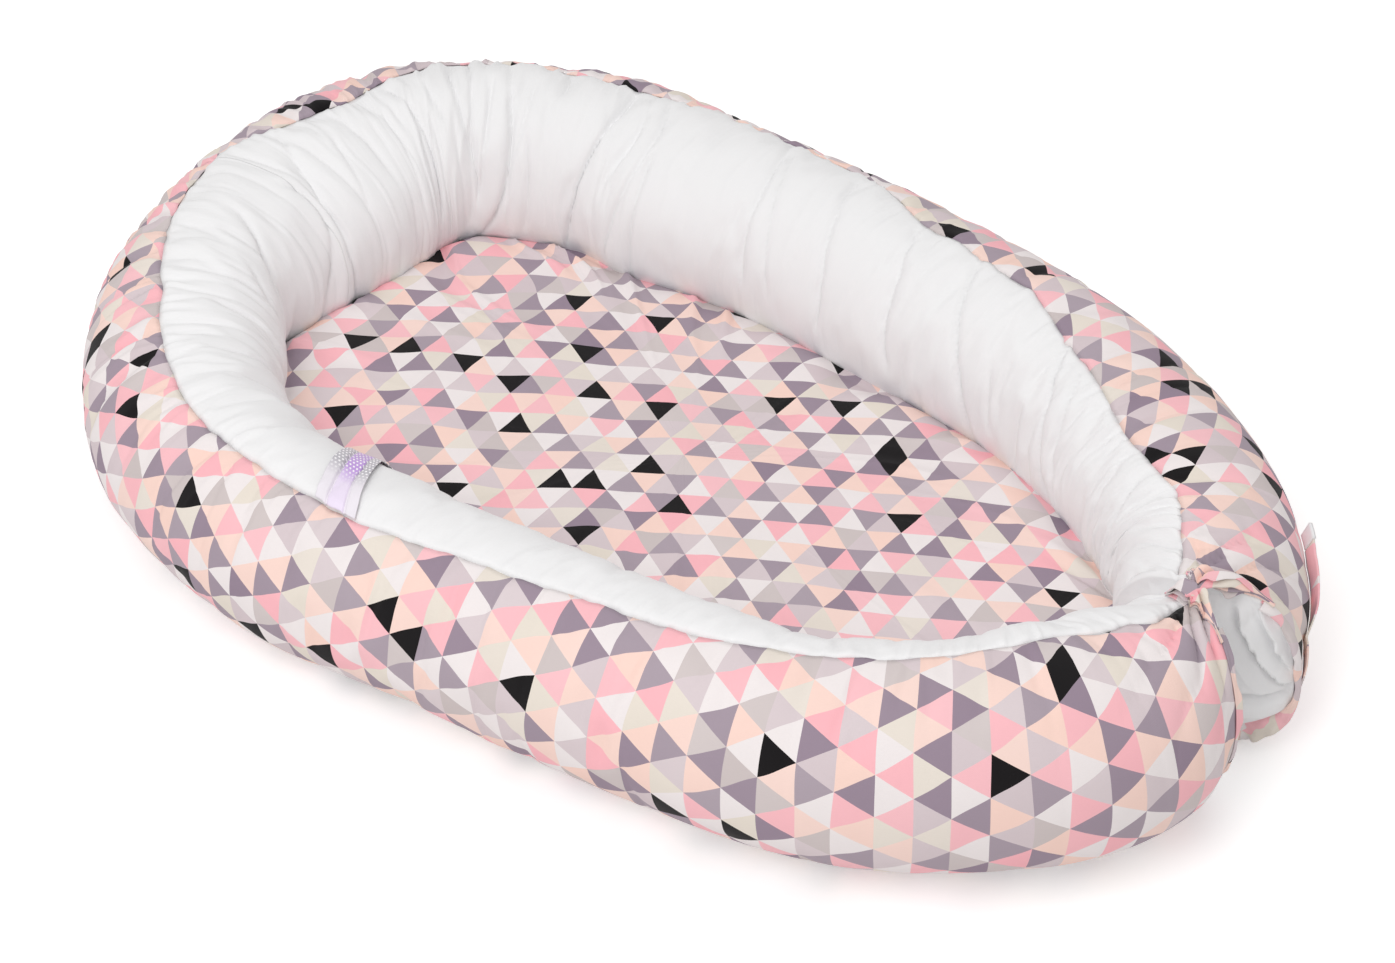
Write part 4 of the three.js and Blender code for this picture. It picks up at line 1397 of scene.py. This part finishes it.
class LOUNGER_OT_mouths(bpy.types.Operator):
    """Adds the end cloths, hems and frills of the two arm ends, and the loose flap"""

    bl_idname = "lounger.mouths"
    bl_label = "Arm ends"

    def execute(self, context):
        for half, (share, sign) in MOUTHS.items():
            mouth = Mouth(share, sign)
            self.end_cloth(half, mouth)
            self.hem(half, mouth)
            self.frill(half, mouth)
        self.flap()
        return {"FINISHED"}

    def end_cloth(self, half, mouth):
        """White cloth over the stuffing: its rim inside the mouth, and slack lower down."""
        arm = HALVES[half][2]
        width, far = float(mouth.at.half_width[0]), half == "back"
        bulge, slack = END_BULGE[half]
        angle = np.linspace(0, 2 * HALF_TURN, END_CLOTH_SIDES + 1)[:-1][None]
        ring = np.linspace(0.0, 0.985, END_CLOTH_RINGS)[:, None]
        hemmed = smooth((GATHER_START + 0.1 - wrapped(angle, HEM_UNDER)) / 0.1)
        rim = mouth.points(angle, -1.6 * MM - 1.2 * MM * hemmed, 0 * angle)
        flat = rim + (mouth.middle() - rim) * ring[..., None]
        reach = width * (1 - ring) * np.cos(angle)
        high = width * (1 - ring) * np.sin(angle)
        dome = bulge * MM * smooth(np.minimum(1, ring * 2.2))
        sag = slack * MM * smooth((0.035 - high) / 0.085) * smooth(ring * 4)
        folds = (far_cloth_folds if far else near_cloth_folds)(reach, high)
        stand = 1.0 * MM + dome + sag + folds * smooth(ring * 11)
        if far:
            stand = stand * (1 - smooth((0.28 * far_tuck(angle) - ring) / 0.05))
        points = flat + np.maximum(stand, 0.8 * MM)[..., None] * mouth.out
        lip, tucked = np.array(END_LIP)[:, :, None] * MM, np.array(TUCKED_LIP)[:, :, None] * MM
        lip = lip + (tucked - lip) * hemmed
        wide = 1 + np.linspace(0.09, 0.012, len(lip))[:, None]
        points = np.concatenate([mouth.points(angle + 0 * wide, lip[:, 1], lip[:, 0]), points])
        reach = np.concatenate([width * wide * np.cos(angle), reach])
        high = np.concatenate([width * wide * np.sin(angle), high])
        cap = cloth_shell(f"{arm}_end_cloth", points, pairs(reach, high), CLOTH, mouth.out, wrap=True)
        dress(cap, "white_cotton")
        declare_round(points)
        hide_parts(f"{arm}_end_cap")
        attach(cap, arm)

    def hem(self, half, mouth):
        """Turned band of print round the mouth, which sags to a crumpled lip under the far one."""
        arm = HALVES[half][2]
        angle = np.linspace(UNDER_OUTSIDE, GATHER_START + 0.05, HEM_ROWS)[:, None]
        arc = angle * float(mouth.at.half_height[0])
        profile = np.array(HEM_PROFILE) * MM
        knots, between = np.arange(len(profile)), np.linspace(0, len(profile) - 1, HEM_COLUMNS)
        stand, lift = (np.interp(between, knots, profile[:, k])[None] for k in (0, 1))
        grow = smooth((stand + 1 * MM) / (4 * MM))
        ruffle = 1.4 * MM * ripple(arc / 0.012, 0.0, 71, 2) * grow
        sway = 1.9 * MM * ripple(arc / 0.014, 3.0, 72, 2) * grow
        if half == "back":
            under = far_tuck(angle)
            inner = np.minimum(0, lift) / -profile[:, 1].min()
            crumple = LIP_CRUMPLE * ripple(arc / 0.008, inner * 2.0, 73, 2) * -inner
            lift = lift + (LIP_DEPTH * inner + crumple) * under
            buckle = LIP_BUCKLE * ripple(arc / 0.009, inner * 2.0, 74, 3)
            stand = stand + (LIP_STAND + buckle - crumple) * under * grow
        else:
            stand = stand * np.where(stand > 0, NEAR_HEM_SHARE, 1)
        points = mouth.points(angle, lift + ruffle, stand + sway)
        cloth = np.cumsum(steps_across(points, prepend=points[:, :1]), axis=1)
        u = float(outer_run(mouth.share)) + mouth.sign * cloth
        band = closed_rings(f"{arm}_mouth_hem", points, pairs(u, arc))
        dress(band, "print_cotton")
        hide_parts(f"{arm}_hem")
        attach(band, arm)

    def frill(self, half, mouth):
        """Cloth drawn together on the crest in layers that fold back and forth over each other."""
        arm = HALVES[half][2]
        layers, reach, height, back, seed = FRILLS[half]
        t = np.linspace(0, 1, HEM_ROWS)[:, None]
        b = np.linspace(0, 1, FRILL_COLUMNS * layers)[None]
        angle = GATHER_START - 0.04 + (GATHER_END - GATHER_START + 0.08) * t
        turn = b * layers
        ends = smooth((t - 0.12) * 2.2) * smooth((1 - t) * 4)
        swing = 0.5 - 0.5 * np.cos(HALF_TURN * turn)
        ragged = 1 + 0.42 * noise(t * 4.3, turn * 0.8, seed) + 0.2 * noise(t * 11, turn * 0.9, seed + 1)
        stand = back * (0.5 + 0.5 * ends) + (reach + 0.35 * reach * b) * swing * ragged * (0.1 + 0.9 * ends)
        rise = height * b * (0.25 + 0.75 * ends) * (1 + 0.3 * noise(t * 3.1, 0.5, seed + 2))
        bend_up = 1.3 * noise(t * 8, turn * 0.35, seed + 3) * (0.3 + b)
        droop = 0.55 * np.maximum(0, stand - 2) * (1 - b)
        points = mouth.points(angle, (1.0 + rise + bend_up * ends - droop) * MM, stand * MM)
        u = lengths(steps_across(points).mean(0))[None] + FRILL_CUT
        v = lengths(np.linalg.norm(np.diff(points[:, 0], axis=0), axis=1))[:, None]
        gather = np.full(points.shape[:2], 0.6)
        frill = cloth_shell(f"{arm}_frill", points, pairs(u, v), FINE_CLOTH, UP, gather=gather)
        dress(frill, "print_cotton")
        declare_strip(points)
        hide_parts(f"{arm}_gather")
        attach(frill, arm)

    def flap(self):
        """Loose strip of print along the far arm's outer side, down to its mouth, with a taped top."""
        for name, start, end, rows, thick, slot in FLAP_PARTS:
            t = np.linspace(start, end, rows)
            at = Section(1 - FLAP_LENGTH * (1 - t) / TOTAL)
            angle = np.radians(16 - 28 * t)[:, None]
            b = np.linspace(0, 1, FLAP_COLUMNS)[None]
            tip = (4.9 - 0.8 * np.sin(HALF_TURN * t) + 0.7 * noise(t * 5, 0.5, 91)) * MM
            tip = tip * (1 - 0.65 * smooth((t - 0.42) / 0.25))
            lift = 0.4 * MM + tip[:, None] * b
            points = at.points(angle + 0 * b, print_lift(at, angle) + lift)
            points = points + moved("print", print_edges, at, angle)
            points[..., 2] += ((9.6 + 0.8 * np.sin(t * 8)) * MM)[:, None] * b + thick * MM / 2
            uvs = pairs(FLAP_CUT + lift, (at.run - at.run[0])[:, None])
            strip = cloth_shell(name, points, uvs, thick * MM, UP)
            dress(strip, slot)
            if slot == "print_cotton":
                declare_strip(points)
            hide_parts("back_arm_flap")
            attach(strip, "back_arm")


# Where along the route the ribbon lies, and its ends as angles past the seam
RIBBON_SHARE = 0.303
RIBBON_ANGLES = (0.008, 1.55)


class LOUNGER_OT_ribbon(bpy.types.Operator):
    """Adds the satin ribbon over the near rim"""

    bl_idname = "lounger.ribbon"
    bl_label = "Ribbon"

    def execute(self, context):
        width = colours().ribbon_width
        across = np.linspace(-0.5, 0.5, RIBBON_GRID[0])[:, None] * width
        past = np.linspace(*RIBBON_ANGLES, RIBBON_GRID[1])[None]
        arc = past * ROLL_HEIGHT / 2
        slant = 25 * MM * np.minimum(1.2, arc / 0.06) - 18.5 * MM
        share = RIBBON_SHARE + (across + slant) / TOTAL
        at = Section(share.ravel())
        angles = (past + seam_angle(share)).reshape(-1, 1)
        aside = np.abs(across) / width
        curl = smooth(aside * 2) * np.sin(HALF_TURN * np.minimum(1, arc / 0.07))
        fold = hill((aside - 0.22) * width, 0, 1.0 * MM) * smooth((0.07 - arc) / 0.03)
        lift = 0.6 * white_lift(at, angles) + ((2.3 + 1.6 * curl - 1.9 * fold) * MM).reshape(-1, 1)
        points = at.points(angles, lift) + moved("white", white_edges, at, angles)
        points, out = (grid.reshape(*share.shape, 3) for grid in (points, at.outwards(angles)))
        ribbon = cloth_shell("satin_ribbon", points, pairs(across, arc), FINE_CLOTH, out)
        dress(ribbon, "satin")
        declare_strip(points.swapaxes(0, 1))
        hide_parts("label_ribbon")
        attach(ribbon, "nest")
        return {"FINISHED"}


# Lamps: name, place, size and power. Both point at the object.
LAMPS = [("key", (0.15, -1.8, 2.1), 1.8, 26), ("top", (0.2, 0.3, 2.7), 2.6, 12)]

# The photo's camera: its turn round the object, its height as an angle, its target, distance and lens in mm
CAMERA_TURN = math.radians(36)
CAMERA_HEIGHT = math.radians(39.31)
CAMERA_TARGET = Vector((0.02795, -0.02349, 0.05946))
CAMERA_DISTANCE = 2.5278
CAMERA_LENS = 98.06


class LOUNGER_OT_stage(bpy.types.Operator):
    """Adds the floor, the lamps, the white surround and the camera"""

    bl_idname = "lounger.stage"
    bl_label = "Stage"

    def execute(self, context):
        self.floor()
        self.surround(context)
        for lamp in LAMPS:
            self.lamp(*lamp)
        self.camera(context)
        context.scene.view_settings.view_transform = "Standard"
        return {"FINISHED"}

    def floor(self):
        bpy.ops.mesh.primitive_plane_add(size=14, location=(0, 0, 0))
        floor = bpy.context.object
        floor.name = "floor"
        look = Nodes(bpy.data.materials.new("floor"))
        diffuse = look.add("ShaderNodeBsdfDiffuse", None, {"Color": (0.9, 0.9, 0.9, 1.0)})
        glow = look.add("ShaderNodeEmission", None, {"Color": (1, 1, 1, 1), "Strength": 0.34})
        none = look.add("ShaderNodeEmission", None, {"Color": (0, 0, 0, 1), "Strength": 0.0})
        chosen = look.add("ShaderNodeMixShader", None, {0: look.seen(), 1: none, 2: glow})
        look.end("ShaderNodeOutputMaterial", look.add("ShaderNodeAddShader", None, {0: diffuse, 1: chosen}))
        floor.data.materials.append(look.owner)

    def surround(self, context):
        """White where the camera sees it, and a little warmer and dimmer where it lights the object."""
        look = Nodes(bpy.data.worlds.new("surround"))
        light = look.add("ShaderNodeBackground", None, {"Color": (1.0, 0.985, 0.975, 1.0), "Strength": 0.6})
        white = look.add("ShaderNodeBackground", None, {"Color": (1, 1, 1, 1), "Strength": 1.0})
        chosen = look.add("ShaderNodeMixShader", None, {0: look.seen(), 1: light, 2: white})
        look.end("ShaderNodeOutputWorld", chosen)
        context.scene.world = look.owner

    def lamp(self, name, spot, size, power):
        data = bpy.data.lights.new(name, "AREA")
        data.shape = "DISK"
        data.size = size
        data.energy = power
        lamp = bpy.data.objects.new(name, data)
        bpy.context.scene.collection.objects.link(lamp)
        lamp.location = spot
        lamp.rotation_euler = (lamp.location * -1).to_track_quat("-Z", "Y").to_euler()

    def camera(self, context):
        flat, high = math.cos(CAMERA_HEIGHT), math.sin(CAMERA_HEIGHT)
        back = Vector((math.sin(CAMERA_TURN) * flat, -math.cos(CAMERA_TURN) * flat, high))
        right = Vector((math.cos(CAMERA_TURN), math.sin(CAMERA_TURN), 0))
        data = bpy.data.cameras.new("camera")
        data.sensor_width = 36
        data.lens = CAMERA_LENS
        camera = bpy.data.objects.new("camera", data)
        context.scene.collection.objects.link(camera)
        turn = Matrix((right, back.cross(right), back)).transposed().to_4x4()
        camera.matrix_world = Matrix.Translation(CAMERA_TARGET + back * CAMERA_DISTANCE) @ turn
        context.scene.camera = camera


class LOUNGER_PT_panel(bpy.types.Panel):
    """Lists the lounger's pieces and settings"""

    bl_idname = "LOUNGER_PT_panel"
    bl_label = "Infant lounger"
    bl_space_type = "VIEW_3D"
    bl_region_type = "UI"
    bl_category = "Lounger"

    def draw(self, context):
        column = self.layout.column()
        for group in (context.scene.lounger_sizes, context.scene.lounger_colours):
            for name in group.__annotations__:
                column.prop(group, name)
        for piece in PIECES:
            column.operator(piece.bl_idname)


PIECES = (
    LOUNGER_OT_stage,
    LOUNGER_OT_stuffing,
    LOUNGER_OT_covers,
    LOUNGER_OT_mattress,
    LOUNGER_OT_base,
    LOUNGER_OT_mouths,
    LOUNGER_OT_ribbon,
)

CLASSES = (LoungerColours, LoungerSizes, *PIECES, LOUNGER_PT_panel)


def register():
    for item in CLASSES:
        bpy.utils.register_class(item)
    bpy.types.Scene.lounger_colours = PointerProperty(type=LoungerColours)
    bpy.types.Scene.lounger_sizes = PointerProperty(type=LoungerSizes)


def unregister():
    del bpy.types.Scene.lounger_sizes
    del bpy.types.Scene.lounger_colours
    for item in reversed(CLASSES):
        bpy.utils.unregister_class(item)


def main():
    register()
    for piece in PIECES:
        group, name = piece.bl_idname.split(".")
        getattr(getattr(bpy.ops, group), name)()
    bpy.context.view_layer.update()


if __name__ == "__main__":
    main()
